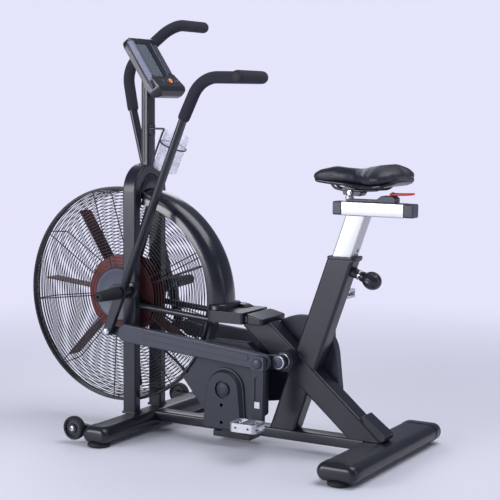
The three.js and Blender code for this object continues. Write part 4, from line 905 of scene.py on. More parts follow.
def build_foot(end, side):
    """A low rubber pad, rounded at its rim."""
    name = SIDE_NAME[side]
    foot = span(f"{end}_foot_{name}")
    radius, top = foot.size.x / 2, foot.high.z
    profile = [(0.012, 0.0008), (radius - 0.006, 0.0), (radius - 0.002, 0.0015), (radius, 0.005),
               (radius - 0.001, 0.009), (radius - 0.004, 0.012), (radius - 0.010, 0.0145),
               (radius - 0.013, top), (0.004, top)]
    body = turned(profile, Matrix.Translation((foot.mid.x, foot.mid.y, 0)), 64)
    piece(f"{end}_foot_pad_{name}", "root", RUBBER, body, replaces=[f"{end}_foot_{name}"], angle=60)


def build_wheel(side):
    """A crowned tyre on a dished hub."""
    name = SIDE_NAME[side]
    wheel = span(f"transport_wheel_{name}")
    radius, half = wheel.size.z / 2, wheel.size.y / 2
    tyre = [(0.0255, -half + 0.001), (radius - 0.004, -half), (radius - 0.001, -half + 0.003),
            (radius, 0), (radius - 0.001, half - 0.003), (radius - 0.004, half), (0.0255, half - 0.001),
            (0.0255, -half + 0.001)]
    place = axis_y(wheel.mid.x, wheel.mid.y, wheel.mid.z)
    piece(f"wheel_tyre_{name}", f"transport_wheel_{name}", RUBBER, turned(tyre, place, 72),
          replaces=[f"transport_wheel_{name}"], angle=50)
    hub = [(0.0056, -half), (0.013, -half), (0.014, -half + 0.004), (0.0252, -half + 0.005),
           (0.0252, half - 0.005), (0.014, half - 0.004), (0.013, half), (0.0056, half), (0.0056, -half)]
    piece(f"wheel_hub_{name}", f"transport_wheel_{name}", PLASTIC, turned(hub, place, 60), angle=40)


# ------------------------------------------------------------------ drive covers


def build_covers():
    """The flat left cover with its raised cap, and the rounded right cover."""
    left = span("drive_cover_left")
    outline = rounded([(-0.249, 0.078), (-0.090, 0.078), (-0.064, 0.100), (-0.064, 0.250),
                       (-0.118, 0.300), (-0.236, 0.300), (-0.331, 0.177)], 0.006, 4)
    piece("left_cover_shell", "root", DRIVE_COVER, prism(outline, left.low.y, left.high.y), bevel=0.003,
          segments=4, replaces=["drive_cover_left"])
    build_shaft_cover(left)
    right = span("drive_cover_right")
    shaft = span("jackshaft").mid
    shape = hull([(0, AXLE_Z, 0.114), (shaft.x, shaft.z, 0.058), (0.100, 0.178, 0.024)], 36)
    piece("right_cover_shell", "root", DRIVE_COVER, prism(shape, right.low.y, right.high.y), bevel=0.004,
          segments=4, replaces=["drive_cover_right"],
          cuts=[rod((0, 0.02, AXLE_Z), (0, 0.09, AXLE_Z), 0.016, 40)])


def build_shaft_cover(left):
    """The raised cap over the jackshaft: a ledge, a slanted wall, a flat top with a domed boss."""
    box = span("jackshaft_cover")
    shaft = span("jackshaft").mid
    feet = box.low.z + 0.012
    front, rear = box.low.x + 0.012, box.high.x - 0.012
    wide = hull([(shaft.x, shaft.z, 0.060), (front, feet, 0.0115), (rear, feet, 0.0115)], 28)
    ledge = hull([(shaft.x, shaft.z, 0.0555), (front + 0.002, feet + 0.002, 0.0095),
                  (rear - 0.002, feet + 0.002, 0.0095)], 28)
    narrow = hull([(shaft.x, shaft.z, 0.049), (front + 0.006, feet + 0.004, 0.0075),
                   (rear - 0.006, feet + 0.004, 0.0075)], 28)
    base = left.low.y + 0.001
    step = left.low.y - 0.005
    top = box.low.y + 0.0045
    rings = []
    for outline_xz, y in ((wide, base), (wide, step), (ledge, step - 0.001), (narrow, top + 0.001),
                          (narrow, top)):
        rings.append(ring_at(resample(outline_xz, 120), y))
    well = rod((shaft.x, top - 0.01, shaft.z), (shaft.x, top + 0.006, shaft.z), 0.0255, 56)
    holes = [rod((shaft.x - 0.004, top - 0.01, z), (shaft.x - 0.004, top + 0.016, z), 0.005, 24)
             for z in (0.118, 0.068)]
    piece("bump_shell", "root", DRIVE_COVER, sheet_rings(rings), cuts=[well, *holes],
          replaces=["jackshaft_cover"], bevel=0.0012, angle=20)
    disc = [(0.0195, 0.0065), (0.0190, 0.0015), (0.0165, -0.0004), (0.010, -0.0016), (0.002, -0.0020)]
    piece("bump_boss", "root", DRIVE_COVER, turned(disc, axis_y(shaft.x, top, shaft.z), 56))


def resample(outline, count):
    """A closed outline as evenly spaced points that start at its lowest, leftmost point."""
    points = [Vector(p) for p in outline]
    start = min(range(len(points)), key=lambda i: (round(points[i].y, 4), points[i].x))
    points = points[start:] + points[:start] + [points[start]]
    return [tuple(p) for p in even(points, count + 1)[:-1]]


def build_top_cover():
    """Two deck pieces over the drive, split by a gap, with a hump and the duct's collar."""
    cover = span("top_cover")
    half = cover.size.y / 2
    split_front, split_rear = -0.128, -0.119
    cage = rod((FAN.x, -CAGE_FACE - 0.002, FAN.z), (FAN.x, CAGE_FACE + 0.002, FAN.z), CAGE_RADIUS + 0.002,
               120)
    front = rounded([(cover.low.x, -half), (split_front, -half), (split_front, half),
                     (cover.low.x, half)], [0.034, 0.008, 0.008, 0.034], 8)
    deck = prism(front, cover.low.z - 0.002, cover.high.z - 0.003, "Z")
    piece("top_cover_deck", "root", PLASTIC, deck, bevel=0.004, segments=4, cuts=[cage],
          replaces=["top_cover"])
    rear = rounded([(split_rear, -half + 0.004), (cover.high.x, -half + 0.004),
                    (cover.high.x, half - 0.004), (split_rear, half - 0.004)], 0.010, 5)
    tail = prism(rear, cover.low.z, cover.high.z, "Z")
    slope = prism([(split_rear - 0.03, cover.high.z + 0.002), (cover.high.x + 0.03, cover.high.z - 0.024),
                   (cover.high.x + 0.03, cover.high.z + 0.05), (split_rear - 0.03, cover.high.z + 0.05)],
                  -0.2, 0.2)
    piece("top_cover_tail", "root", PLASTIC, tail, bevel=0.003, segments=4, cuts=[slope])
    bridge = prism(rect(split_rear - split_front + 0.004, 2 * half - 0.024, 0.001, 2,
                        ((split_front + split_rear) / 2, 0)), cover.low.z + 0.004, cover.high.z - 0.012,
                   "Z")
    piece("top_cover_bridge", "root", PLASTIC, bridge, bevel=0.0005)
    hump_centre, hump_half, hump_rise = -0.200, 0.036, 0.011
    chord = cover.high.z - 0.004
    radius = (hump_half ** 2 + hump_rise ** 2) / (2 * hump_rise)
    arc = []
    for k in range(17):
        a = math.asin(hump_half / radius) * (2 * k / 16 - 1)
        arc.append((hump_centre + radius * math.sin(a), chord + hump_rise - radius * (1 - math.cos(a))))
    piece("top_cover_hump", "root", PLASTIC, prism(arc, 0.026, 0.060), bevel=0.002, angle=40)
    collar = []
    for grow, z in ((0.0, cover.high.z - 0.006), (0.0, cover.high.z + 0.008),
                    (-0.003, cover.high.z + 0.011)):
        collar.append(ring_at(rect(0.060 + 2 * grow, 0.124 + 2 * grow, 0.029, 8, (-0.229, 0)), z, "Z"))
    piece("duct_collar", "root", PLASTIC, sheet_rings(collar), angle=50, cuts=[cage])


# ------------------------------------------------------------------ cranks, pedals and links


def build_crank():
    """The bearing shell, axle, inner arms and pulley, then each side's outer arm, pedal and link."""
    shell = span("bearing_housing")
    half = -shell.low.y
    barrel = [(0.0110, -half + 0.002), (0.0120, -half), (0.0260, -half), (0.0305, -half + 0.004),
              (0.0305, half - 0.034), (0.0110, half - 0.034), (0.0110, -half + 0.002)]
    piece("bearing_shell", "root", PAINT, turned(barrel, ON_CRANK_AXLE, 72), replaces=["bearing_housing"],
          angle=40)
    ring = [(0.0110, 0), (0.0215, 0), (0.0225, -0.0015), (0.0215, -0.003), (0.0110, -0.003), (0.0110, 0)]
    piece("bearing_ring", "root", STEEL, turned(ring, axis_y(0, -half, AXLE_Z)))

    arm_in, arm_out, pin_end = 0.080, 0.096, 0.1237
    axle = rod((0, -arm_out, AXLE_Z), (0, arm_out, AXLE_Z), 0.0100, 32)
    piece("crank_axle", "crank", STEEL, axle, replaces=["crank_shaft"])
    for side in SIDES:
        name = SIDE_NAME[side]
        x = side * THROW
        low, high = beside(side, arm_in, arm_out)
        ends = [(0, AXLE_Z, 0.021), (x, AXLE_Z, 0.017)]
        outline = hull(ends if x > 0 else ends[::-1])
        piece(f"inner_arm_{name}", "crank", PAINT, prism(outline, low, high), bevel=0.002)
        place = axis_y(0, side * arm_out, AXLE_Z)
        rim = [(0.0155, -0.001), (0.0180, -0.001), (0.0185, 0.001), (0.0175, 0.0028), (0.0155, 0.0028),
               (0.0155, -0.001)]
        piece(f"inner_ring_{name}", "crank", STEEL, turned(mirrored(rim, side), place), angle=40)
        cap = dome((0, side * (arm_out - 0.0005), AXLE_Z), (0, side, 0), 0.0152, 0.0065)
        piece(f"inner_cap_{name}", "crank", HUB_GREY, cap)
        pin = rod((x, side * (arm_out - 0.002), AXLE_Z), (x, side * pin_end, AXLE_Z), 0.009, 32)
        piece(f"crank_pin_{name}", "crank", STEEL, pin)
        build_outer_arm(side, x)
        build_pedal(side)
        build_link(side)
    pulley = span("crank_pulley")
    radius, y0, y1 = pulley.size.x / 2, pulley.low.y, pulley.high.y
    wheel = [(0.0105, y0), (radius, y0), (radius, y0 + 0.0015), (radius - 0.003, y0 + 0.002),
             (radius - 0.003, y1 - 0.002), (radius, y1 - 0.0015), (radius, y1), (0.0105, y1),
             (0.0105, y0)]
    piece("crank_pulley_wheel", "crank", PLASTIC, turned(wheel, ON_CRANK_AXLE, 96),
          replaces=["crank_pulley"])


def build_outer_arm(side, x):
    """The long crank arm with its slot, square boss, cap, reflector and pedal spindle."""
    name = SIDE_NAME[side]
    near, far, spindle_end = 0.124, 0.141, 0.2165
    z_end = AXLE_Z + side * CRANK_ARM
    low, high = beside(side, near, far)
    outline = hull([(x, AXLE_Z, 0.019), (x, z_end, 0.016)], 24)
    middle = (AXLE_Z + z_end) / 2
    slot = rect(0.017, 0.086, 0.0060, 6, (x, middle))
    piece(f"outer_arm_{name}", "crank", DRIVE_COVER, prism(outline, low, high), bevel=0.0018,
          replaces=[f"crank_arm_{name}"], cuts=[prism(slot, *beside(side, far - 0.0030, far + 0.005))])
    plate = rect(0.040, 0.040, 0.005, 4, (x, AXLE_Z))
    piece(f"arm_square_{name}", "crank", COVER, prism(plate, *beside(side, far - 0.001, far + 0.003)),
          bevel=0.0012)
    cap = dome((x, side * (far + 0.0025), AXLE_Z), (0, side, 0), 0.0145, 0.0075)
    piece(f"arm_cap_{name}", "crank", COVER, cap)
    patch = rect(0.0165, 0.018, 0.0012, 3, (x, AXLE_Z + side * 0.115))
    reflector = prism(patch, *beside(side, far - 0.001, far + 0.0012))
    piece(f"arm_reflector_{name}", "crank", SATIN_METAL, reflector, bevel=0.0005)
    spindle = rod((x, side * (far - 0.002), z_end), (x, side * spindle_end, z_end), 0.006, 24)
    piece(f"spindle_{name}", "crank", STEEL, spindle)
    hexagon = circle(0.0095, 6, (x, z_end))
    flats = prism(hexagon, *beside(side, far - 0.001, far + 0.008))
    piece(f"spindle_flats_{name}", "crank", STEEL, flats, bevel=0.0008)


def build_pedal(side):
    """A cast block pedal: a deep rim with windows, two cross bars and a barrel on the spindle."""
    name = SIDE_NAME[side]
    pedal = span(f"pedal_{name}")
    x, y, z = pedal.mid
    (x0, y0, z0), (x1, y1, z1) = pedal.low, pedal.high
    corner, rim = 0.010, 0.0050
    frame_outline = rounded([(x0, y0 + corner), (x0 + corner, y0), (x1 - corner, y0), (x1, y0 + corner),
                             (x1, y1 - corner), (x1 - corner, y1), (x0 + corner, y1), (x0, y1 - corner)],
                            0.006, 4)
    half_gap = 0.0100
    openings = []
    for hand in (-1, 1):
        inner_x, outer_x = sorted((x + hand * half_gap, (x1 if hand > 0 else x0) - hand * rim))
        openings.append(prism(rounded([(inner_x, y0 + rim), (outer_x, y0 + rim), (outer_x, y1 - rim),
                                       (inner_x, y1 - rim)], 0.005, 4), z0 - 0.01, z1 + 0.01, "Z"))
    window = prism(rect(0.048, 0.0125, 0.0035, 4, (y, z)), x0 - 0.02, x1 + 0.02, "X")
    dots = [rod((x + k * 0.019, y0 - 0.01, z), (x + k * 0.019, y1 + 0.01, z), 0.0036, 20)
            for k in (-1, 1)]
    shaft_hole = rod((x, min(abs(y0), abs(y1)) * side - side * 0.01, z), (x, y + side * 0.0265, z),
                     0.0068, 32)
    piece(f"pedal_cage_{name}", f"pedal_{name}", BRIGHT, prism(frame_outline, z0, z1, "Z"), bevel=0.0010,
          segments=3, cuts=[*openings, window, *dots, shaft_hole], replaces=[f"pedal_{name}"])
    cleats = []
    for hand in (-1, 1):
        for k in range(5):
            py = y0 + 0.010 + (y1 - y0 - 0.020) * k / 4
            px = x + hand * (x1 - x0) / 2 - hand * rim / 2
            for height, up in ((z1 - 0.0012, 1), (z0 + 0.0012, -1)):
                cleats.append(dome((px, py, height - up * 0.0004), (0, 0, up), 0.0024, 0.0016))
    piece(f"pedal_cleats_{name}", f"pedal_{name}", STEEL, joined(*cleats))


def build_link(side):
    """A deep pressed cover over the push bar; it narrows to an eye at the handle's lever."""
    name = SIDE_NAME[side]
    link_box = span(f"link_{name}")
    lean = HANDLE_LEAN[side]
    rear = Vector((side * THROW, 0, AXLE_Z))
    front = Vector((PIVOT.x - LEVER * math.sin(lean), 0, PIVOT.z - LEVER * math.cos(lean)))
    along = front - rear
    length = along.length
    turn = Matrix.Translation(rear) @ Matrix.Rotation(math.atan2(along.z, -along.x), 4, "Y")
    low, high = link_box.low.y, link_box.high.y
    deep = 0.0255
    body = hull([(-length + 0.052, 0.0, deep + 0.001), (0, 0, deep - 0.002)], 24)
    cover = prism(body, low, high)
    bore = rod((0, low - 0.01, 0), (0, high + 0.01, 0), 0.0094, 40)
    piece(f"link_cover_{name}", f"link_{name}", COVER, moved(cover, turn), bevel=0.0045, segments=4,
          replaces=[f"link_{name}"], cuts=[moved(bore, turn)])
    face = side * (high if side > 0 else -low)
    ridge_low, ridge_high = sorted((face - side * 0.001, face + side * 0.0016))
    ridge = hull([(-length + 0.125, 0.004, 0.0085), (-0.050, 0.004, 0.0085)], 16)
    piece(f"link_ridge_{name}", f"link_{name}", COVER, moved(prism(ridge, ridge_low, ridge_high), turn),
          bevel=0.0013)
    tongue = hull([(-length, 0, 0.0135), (-length + 0.050, 0, 0.0135)], 20)
    inset = 0.003
    eye_bore = rod((-length, low - 0.01, 0), (-length, high + 0.01, 0), 0.0062, 32)
    eye = moved(prism(tongue, low + inset, high - inset), turn)
    piece(f"link_eye_{name}", f"link_{name}", PAINT, eye, bevel=0.002, cuts=[moved(eye_bore, turn)])


# ------------------------------------------------------------------ handles


def handle_place(side):
    return Matrix.Translation(PIVOT) @ Matrix.Rotation(HANDLE_LEAN[side], 4, "Y")


def build_handle(side):
    """An oval tube with its pivot hub, the lever below it and the bent foam grip above."""
    name = SIDE_NAME[side]
    body = f"handle_{name}"
    place = handle_place(side)
    y = side * HANDLE_Y
    oval = rect(0.018, 0.030, 0.00899, 10, (0, y))
    tube = prism(oval, 0.0, GRIP_START + 0.004, "Z")
    piece(f"handle_tube_{name}", body, PAINT, moved(tube, place), replaces=[f"handle_{name}"], angle=50)
    hub_in, hub_out, bar_in, bar_out = 0.108, 0.142, 0.123, 0.139
    low, high = beside(side, hub_in, hub_out)
    barrel = [(0.0106, low), (0.0185, low), (0.020, low + 0.0015), (0.020, high - 0.0015), (0.0185, high),
              (0.0106, high), (0.0106, low)]
    piece(f"handle_hub_{name}", body, PAINT, turned(barrel, place @ axis_y(0, 0, 0)), angle=40)
    bar = hull([(0, 0, 0.015), (0, -LEVER, 0.013)][::-1], 20)
    bar_low, bar_high = beside(side, bar_in, bar_out)
    clear = rod((0, bar_low - 0.01, 0), (0, bar_high + 0.01, 0), 0.0106, 40)
    piece(f"handle_lever_{name}", body, PAINT, moved(prism(bar, bar_low, bar_high), place), bevel=0.002,
          cuts=[moved(clear, place)])
    cap = dome((0, side * (bar_out - 0.0005), -LEVER), (0, side, 0), 0.0115, 0.009)
    piece(f"lever_cap_{name}", body, CHROME, moved(cap, place))
    stud = rod((0, side * (bar_in - 0.0015), -LEVER), (0, side * (bar_in + 0.002), -LEVER), 0.010, 32)
    piece(f"lever_stud_{name}", body, STEEL, moved(stud, place))

    corners = [(0, y, GRIP_START), (GRIP_KNEE_X, y, GRIP_KNEE_Z), (GRIP_REACH, y, GRIP_TOP),
               (GRIP_REACH, side * GRIP_END_Y, GRIP_TOP)]
    path = even(bent(corners, [0.085, 0.050], 14), 90)
    total = len(path) - 1

    def foam_section(share):
        end = min(share, 1 - share) * total
        swell = GRIP_RADIUS - 0.0022 * max(0.0, 1 - end / 1.6) ** 2
        return circle(swell, 28)

    piece(f"foam_{name}", body, FOAM, moved(sweep(path, foam_section), place), replaces=[f"grip_{name}"],
          angle=60)
    tip = place @ Vector((GRIP_REACH, side * (GRIP_END_Y - 0.0005), GRIP_TOP))
    outward = place.to_3x3() @ Vector((0, side, 0))
    piece(f"grip_plug_{name}", body, RUBBER, dome(tip - outward * 0.0015, outward, 0.0135, 0.0028))


def build_peg(side):
    """A knurled foot peg on the pivot shaft."""
    name = SIDE_NAME[side]
    peg = span(f"foot_peg_{name}")
    reach = max(abs(peg.low.y), abs(peg.high.y))
    collar = 0.0823
    flange = [(0.0095, collar), (0.0245, collar), (0.026, collar + 0.0015), (0.026, collar + 0.006),
              (0.0235, collar + 0.008), (0.0100, collar + 0.008), (0.0100, 0.1475), (0.004, 0.1475)]
    place = axis_y(PIVOT.x, 0, PIVOT.z)
    piece(f"pivot_shaft_{name}", "root", PAINT, turned(mirrored(flange, side), place), angle=40)
    start = 0.1470
    segments, rows = 54, 40
    root_radius, tip_radius, knurl_height = 0.0180, 0.0140, 0.00055
    rings = []
    for j in range(rows + 1):
        share = j / rows
        h = start + (reach - start) * share
        taper = root_radius + (tip_radius - root_radius) * max(0.0, (share - 0.12) / 0.88)
        edge = min(share, 1 - share) * rows
        taper -= 0.0016 * max(0.0, 1 - edge / 1.5)
        ring = []
        for i in range(segments):
            knurl = knurl_height if (i + j) % 3 == 0 and 3 <= j <= rows - 4 else 0.0
            a = 2 * math.pi * i / segments
            size = taper + knurl
            ring.append(Vector((PIVOT.x + size * math.cos(a), side * h, PIVOT.z + size * math.sin(a))))
        rings.append(ring)
    piece(f"peg_sleeve_{name}", "root", RUBBER, sheet_rings(rings), replaces=[f"foot_peg_{name}"],
          angle=70)
    end = bolt((PIVOT.x, side * (reach - 0.0012), PIVOT.z), (0, side, 0), 0.0075, 0.0012, socket=False)
    piece(f"peg_end_{name}", "root", STEEL, end)


# ------------------------------------------------------------------ console


def build_console():
    """The display's housing on its bracket, with sunk places for the window and the keys."""
    housing_span = span("console_housing")
    half = housing_span.size.y / 2
    side_profile = [(0.0, -0.008), (0.008, 0.0), (0.134, 0.0), (0.182, 0.012), (0.196, 0.010),
                    (0.206, -0.004), (0.200, -0.024), (0.194, -0.028), (0.006, -0.028), (0.0, -0.022)]
    corners = [0.004, 0.004, 0.03, 0.012, 0.010, 0.010, 0.008, 0.006, 0.006, 0.006]
    body = prism(rounded(side_profile, corners, 5), -half, half)
    outside = rect(0.30, 0.30, 0.01, 2, (0.104, 0))
    window = prism(rect(0.1175, 0.0575, 0.004, 4, WINDOW_AT), -0.003, 0.03, "Z")
    keys = prism(rect(0.1015, 0.0245, 0.005, 4, KEYS_AT), -0.0012, 0.03, "Z")
    button = rod((*BUTTON_AT, -0.01), (*BUTTON_AT, 0.03), 0.0088, 40)
    barrel = prism([(-0.0495, 0.003), (-0.0560, -0.0032), (-0.0665, -0.0095), (-0.0700, -0.020),
                    (-0.0700, 0.003)], -0.02, 0.178, "X")
    far_barrel = prism([(0.0590, 0.003), (0.0665, -0.007), (0.0700, -0.020), (0.0700, 0.003)], -0.02,
                       0.132, "X")
    cuts = [on_console(cut) for cut in (trim_corners(outside), window, keys, button, barrel, far_barrel)]
    piece("console_shell", "root", PLASTIC, on_console(body), bevel=0.0022, cuts=cuts,
          replaces=["console_housing"])
    build_console_face()
    clamp = on_console(block((0.060, -0.030, -0.046), (0.150, 0.030, -0.0275)))
    piece("console_bracket", "root", PAINT, clamp, bevel=0.004)


def trim_corners(outside):
    """What lies outside the display's rounded outline, as a frame to cut away."""
    inside = rect(0.212, 0.136, 0.032, 10, (0.104, 0))
    reach, count = 0.06, 96
    corners = ((outside, -reach), (outside, reach), (inside, reach), (inside, -reach))
    return sheet_rings([ring_at(resample(outline, count), z, "Z") for outline, z in corners], closed=True)


def build_console_face():
    """The display window, trims, key sheet, button and marks on the console's face."""
    frame_cut = prism(rect(0.1110, 0.0515, 0.003, 4, WINDOW_AT), -0.01, 0.01, "Z")
    surround = prism(rect(0.1170, 0.0570, 0.0038, 4, WINDOW_AT), -0.0035, -0.0008, "Z")
    piece("display_frame", "root", PLASTIC, on_console(surround), cuts=[on_console(frame_cut)],
          bevel=0.0004)
    glass = prism(rect(0.1125, 0.0530, 0.003, 4, WINDOW_AT), -0.0034, -0.0018, "Z")
    piece("display_glass", "root", SCREEN, on_console(glass), replaces=["console_screen"], bevel=0.0003)
    chamfer = [(-0.0500, 0.0012), (-0.0490, -0.0025), (-0.0660, -0.0120), (-0.0672, -0.0085),
               (-0.0560, -0.0022)]
    piece("console_strip", "root", SILVER, on_console(prism(chamfer, 0.016, 0.174, "X")), bevel=0.0007)
    line = prism(rect(0.112, 0.0032, 0.0012, 3, (0.080, 0.0335)), -0.001, 0.0009, "Z")
    piece("console_line", "root", SILVER, on_console(line), bevel=0.0003)
    pads = []
    for i in range(6):
        for j in range(2):
            centre = (0.0355 + i * 0.0165, 0.0445 + j * 0.0120)
            pads.append(prism(rect(0.0120, 0.0085, 0.0025, 3, centre), -0.0012, 0.0005, "Z"))
    sheet = prism(rect(0.1005, 0.0240, 0.0045, 4, KEYS_AT), -0.0015, -0.0003, "Z")
    piece("key_sheet", "root", KEYS, on_console(sheet), replaces=["console_keypad"], bevel=0.0003)
    piece("key_pads", "root", KEYS, on_console(joined(*pads)), bevel=0.0004, segments=2)
    cap = [(0.0080, -0.0035), (0.0080, 0.0090), (0.0072, 0.0105), (0.0050, 0.0112), (0.0010, 0.0114)]
    button_cap = turned(cap, Matrix.Translation((*BUTTON_AT, 0)), 40)
    piece("start_button", "console_button", ORANGE, on_console(button_cap), replaces=["console_button"],
          angle=50)
    marks = [prism(rect(0.009, 0.0040, 0.001, 2, (BUTTON_AT[0], y)), 0.0040, 0.0082, "Z")
             for y in (-0.022, 0.040, 0.052)]
    piece("chin_marks", "root", SILVER, on_console(joined(*marks)), bevel=0.0003)


# ------------------------------------------------------------------ seat


def build_seat():
    """The post, the slider beam with its plugs, the saddle's carriage, and what sits on it."""
    post_top = (SLIDER.low.z - SEAT_POINT.z) / math.cos(SEAT_LEAN)
    post = on_seat(prism(rect(POST_DEPTH, POST_WIDTH, 0.007, 6), POST_END, post_top + 0.03, "Z"))
    top_cut = block((0, -0.1, SLIDER.low.z - 0.0002), (0.5, 0.1, 0.9))
    first_hole, hole_step, hole_count, hole_radius = 0.025, 0.022, 5, 0.0052
    heights = [first_hole - hole_step * k for k in range(hole_count)]
    pin_holes = [on_seat(rod((0.02, 0, height), (0.05, 0, height), hole_radius, 24))
                 for height in heights]
    piece("seat_post_tube", "seat_post", SATIN_METAL, post, cuts=[top_cut, *pin_holes],
          replaces=["seat_post"], angle=40)
    section = rect(SLIDER.size.y, SLIDER.size.z, 0.003, 4, (0, SLIDER.mid.z))
    piece("slider_tube", "seat_post", SATIN_BEAM, prism(section, SLIDER.low.x, SLIDER.high.x, "X"),
          replaces=["slider_beam"], angle=40)
    for end in ("front", "rear"):
        cap = span(f"slider_cap_{end}")
        shape = rect(cap.size.y, cap.size.z, 0.005, 5, (0, cap.mid.z))
        piece(f"slider_plug_{end}", "seat_post", COVER, prism(shape, cap.low.x, cap.high.x, "X"),
              bevel=0.003, replaces=[f"slider_cap_{end}"])
        face_x, proud = (cap.low.x, -0.0008) if end == "front" else (cap.high.x, 0.0008)
        ribs = [prism(rect(cap.size.y - 0.012, 0.0022, 0.0008, 2, (0, cap.mid.z + k * 0.0065)),
                      *sorted((face_x, cap.mid.x)), "X") for k in (-1, 0, 1)]
        out = Matrix.Translation((proud, 0, 0))
        piece(f"slider_ribs_{end}", "seat_post", COVER, moved(joined(*ribs), out), bevel=0.0003)

    plate = span("saddle_carriage")
    base = plate.low.z
    shoe = prism(rounded([(0.158, -0.016), (0.304, -0.016), (0.304, 0.016), (0.158, 0.016)], 0.004, 4),
                 base, base + 0.006, "Z")
    piece("carriage_plate", "saddle", PLASTIC, shoe, bevel=0.001, replaces=["saddle_carriage"])
    block_shape = rounded([(0.250, base), (0.303, base), (0.303, base + 0.012), (0.296, base + 0.0178),
                           (0.262, base + 0.0178), (0.250, base + 0.009)], 0.003, 4)
    piece("cam_block", "saddle", COVER, prism(block_shape, -0.0165, 0.0165), bevel=0.0015)
    stub_x = plate.low.x + 0.012
    stub = [(0.012, 0.004), (0.012, 0.0125), (0.0105, 0.0135), (0.0105, 0.020), (0.004, 0.020)]
    piece("saddle_stub", "saddle", SATIN_METAL, turned(stub, Matrix.Translation((stub_x, 0, base)), 40))
    build_clamp()
    build_cam_lever()
    build_pop_pin()
    build_saddle()


def build_clamp():
    """The jaws under the saddle, their nuts and the two rails that they hold."""
    clamp = span("saddle_clamp")
    z = clamp.low.z
    jaw = rounded([(0.152, z), (0.199, z - 0.003), (0.206, z + 0.006), (0.196, z + 0.016),
                   (0.160, z + 0.024), (0.148, z + 0.020)], 0.003, 4)
    piece("clamp_jaws", "saddle", PAINT, prism(jaw, -0.020, 0.020), bevel=0.0015,
          replaces=["saddle_clamp"])
    nut_x, nut_z, reach = 0.174, z + 0.007, 0.031
    nuts = [prism(circle(0.0075, 6, (nut_x, nut_z)), *beside(side, 0.020, 0.0265)) for side in SIDES]
    nuts.append(rod((nut_x, -reach, nut_z), (nut_x, reach, nut_z), 0.0040, 20))
    piece("clamp_nuts", "saddle", STEEL, joined(*nuts), bevel=0.0006)
    rail_z = z + 0.0125
    rails = []
    for side in SIDES:
        corners = [(0.090, side * 0.010, rail_z + 0.040), (0.124, side * 0.014, rail_z + 0.004),
                   (0.150, side * 0.0165, rail_z), (0.205, side * 0.0200, rail_z),
                   (0.262, side * 0.0330, rail_z + 0.004), (0.292, side * 0.0420, rail_z + 0.030)]
        rails.append(sweep(even(bent(corners, [0.02, 0.03, 0.05, 0.025]), 60), circle(0.0035, 14)))
    piece("saddle_rails", "saddle", PAINT, joined(*rails), angle=60)


def build_cam_lever():
    """A round hub and a paddle that widens, then narrows towards its tip."""
    lever = span("cam_lever")
    x, z = 0.290, lever.low.z
    hub = [(0.0035, 0), (0.0085, 0), (0.009, 0.001), (0.009, 0.0062), (0.0075, 0.007), (0.0035, 0.007)]
    piece("cam_hub", "cam_lever", RED, turned(hub, Matrix.Translation((x, 0, z)), 40),
          replaces=["cam_lever"], angle=40)
    rings = []
    for k in range(13):
        share = k / 12
        width = 0.0085 + 0.0010 * math.sin(math.pi * share) - 0.003 * max(0, share - 0.85) / 0.15
        rise = 0.0040 + 0.0030 * share * share
        section = rect(2 * width, 0.0075 - 0.0015 * share, 0.0024, 4, (0, z + rise))
        rings.append(ring_at(section, x + (lever.high.x - x) * share, "X"))
    piece("cam_paddle", "cam_lever", RED, sheet_rings(rings), angle=50)
    piece("cam_screw", "cam_lever", STEEL, bolt((x, 0, z + 0.0075), (0, 0, 1), 0.0045, 0.0022))


def build_pop_pin():
    """The spring pin behind the seat tube: a stem in a collar, and a ribbed, egg-shaped knob."""
    turn = on_pin(0)
    face = 0.038
    stem_profile = [(0.004, face - 0.001), (0.006, face - 0.001), (0.006, face + 0.026),
                    (0.004, face + 0.026)]
    piece("pin_stem", "pop_pin", CHROME, on_seat(turned(stem_profile, turn, 32)), replaces=["pop_pin"])
    start = face + 0.0255
    profile = [(0.004, start), (0.0120, start), (0.0135, start + 0.002), (0.0140, start + 0.006)]
    middle, length, width = start + 0.0345, 0.0275, 0.0248
    steps, from_degrees, degrees = 14, -52, 138
    for k in range(steps + 1):
        a = math.radians(from_degrees + degrees * k / steps)
        profile.append((width * math.cos(a), middle + length * math.sin(a)))
    profile.append((0.002, middle + length))
    points, faces = lathe(profile, 72)
    rib_count, rib_depth = 12, 0.045
    grip = []
    for p in points:
        around = math.atan2(p.y, p.x)
        held = smooth_step(start + 0.010, start + 0.022, p.z)
        held *= 1 - smooth_step(middle + 0.010, middle + 0.022, p.z)
        scale = 1 - rib_depth * held * (0.5 + 0.5 * math.cos(rib_count * around))
        grip.append(Vector((p.x * scale, p.y * scale, p.z)))
    piece("pin_knob", "pop_pin", PLASTIC, on_seat(moved((grip, faces), turn)), angle=60)
    ring_low, ring_high = face + 0.0205, face + 0.0232
    ring = [(0.0125, ring_low), (0.0142, ring_low), (0.0142, ring_high), (0.0125, ring_high),
            (0.0125, ring_low)]
    piece("pin_ring", "root", CHROME, on_seat(turned(ring, turn, 40)))


SADDLE_STATIONS = [
    # share of its length, half width, height of the top, height of the underside (both in metres)
    (0.00, 0.012, 0.781, 0.768),
    (0.02, 0.020, 0.789, 0.763),
    (0.08, 0.026, 0.796, 0.758),
    (0.20, 0.030, 0.798, 0.755),
    (0.35, 0.034, 0.795, 0.752),
    (0.47, 0.044, 0.793, 0.750),
    (0.56, 0.062, 0.795, 0.752),
    (0.66, 0.087, 0.801, 0.756),
    (0.76, 0.101, 0.806, 0.760),
    (0.84, 0.102, 0.808, 0.763),
    (0.91, 0.090, 0.806, 0.767),
    (0.965, 0.066, 0.799, 0.771),
    (1.00, 0.030, 0.786, 0.776),
]
BASE_SHARE = 0.84


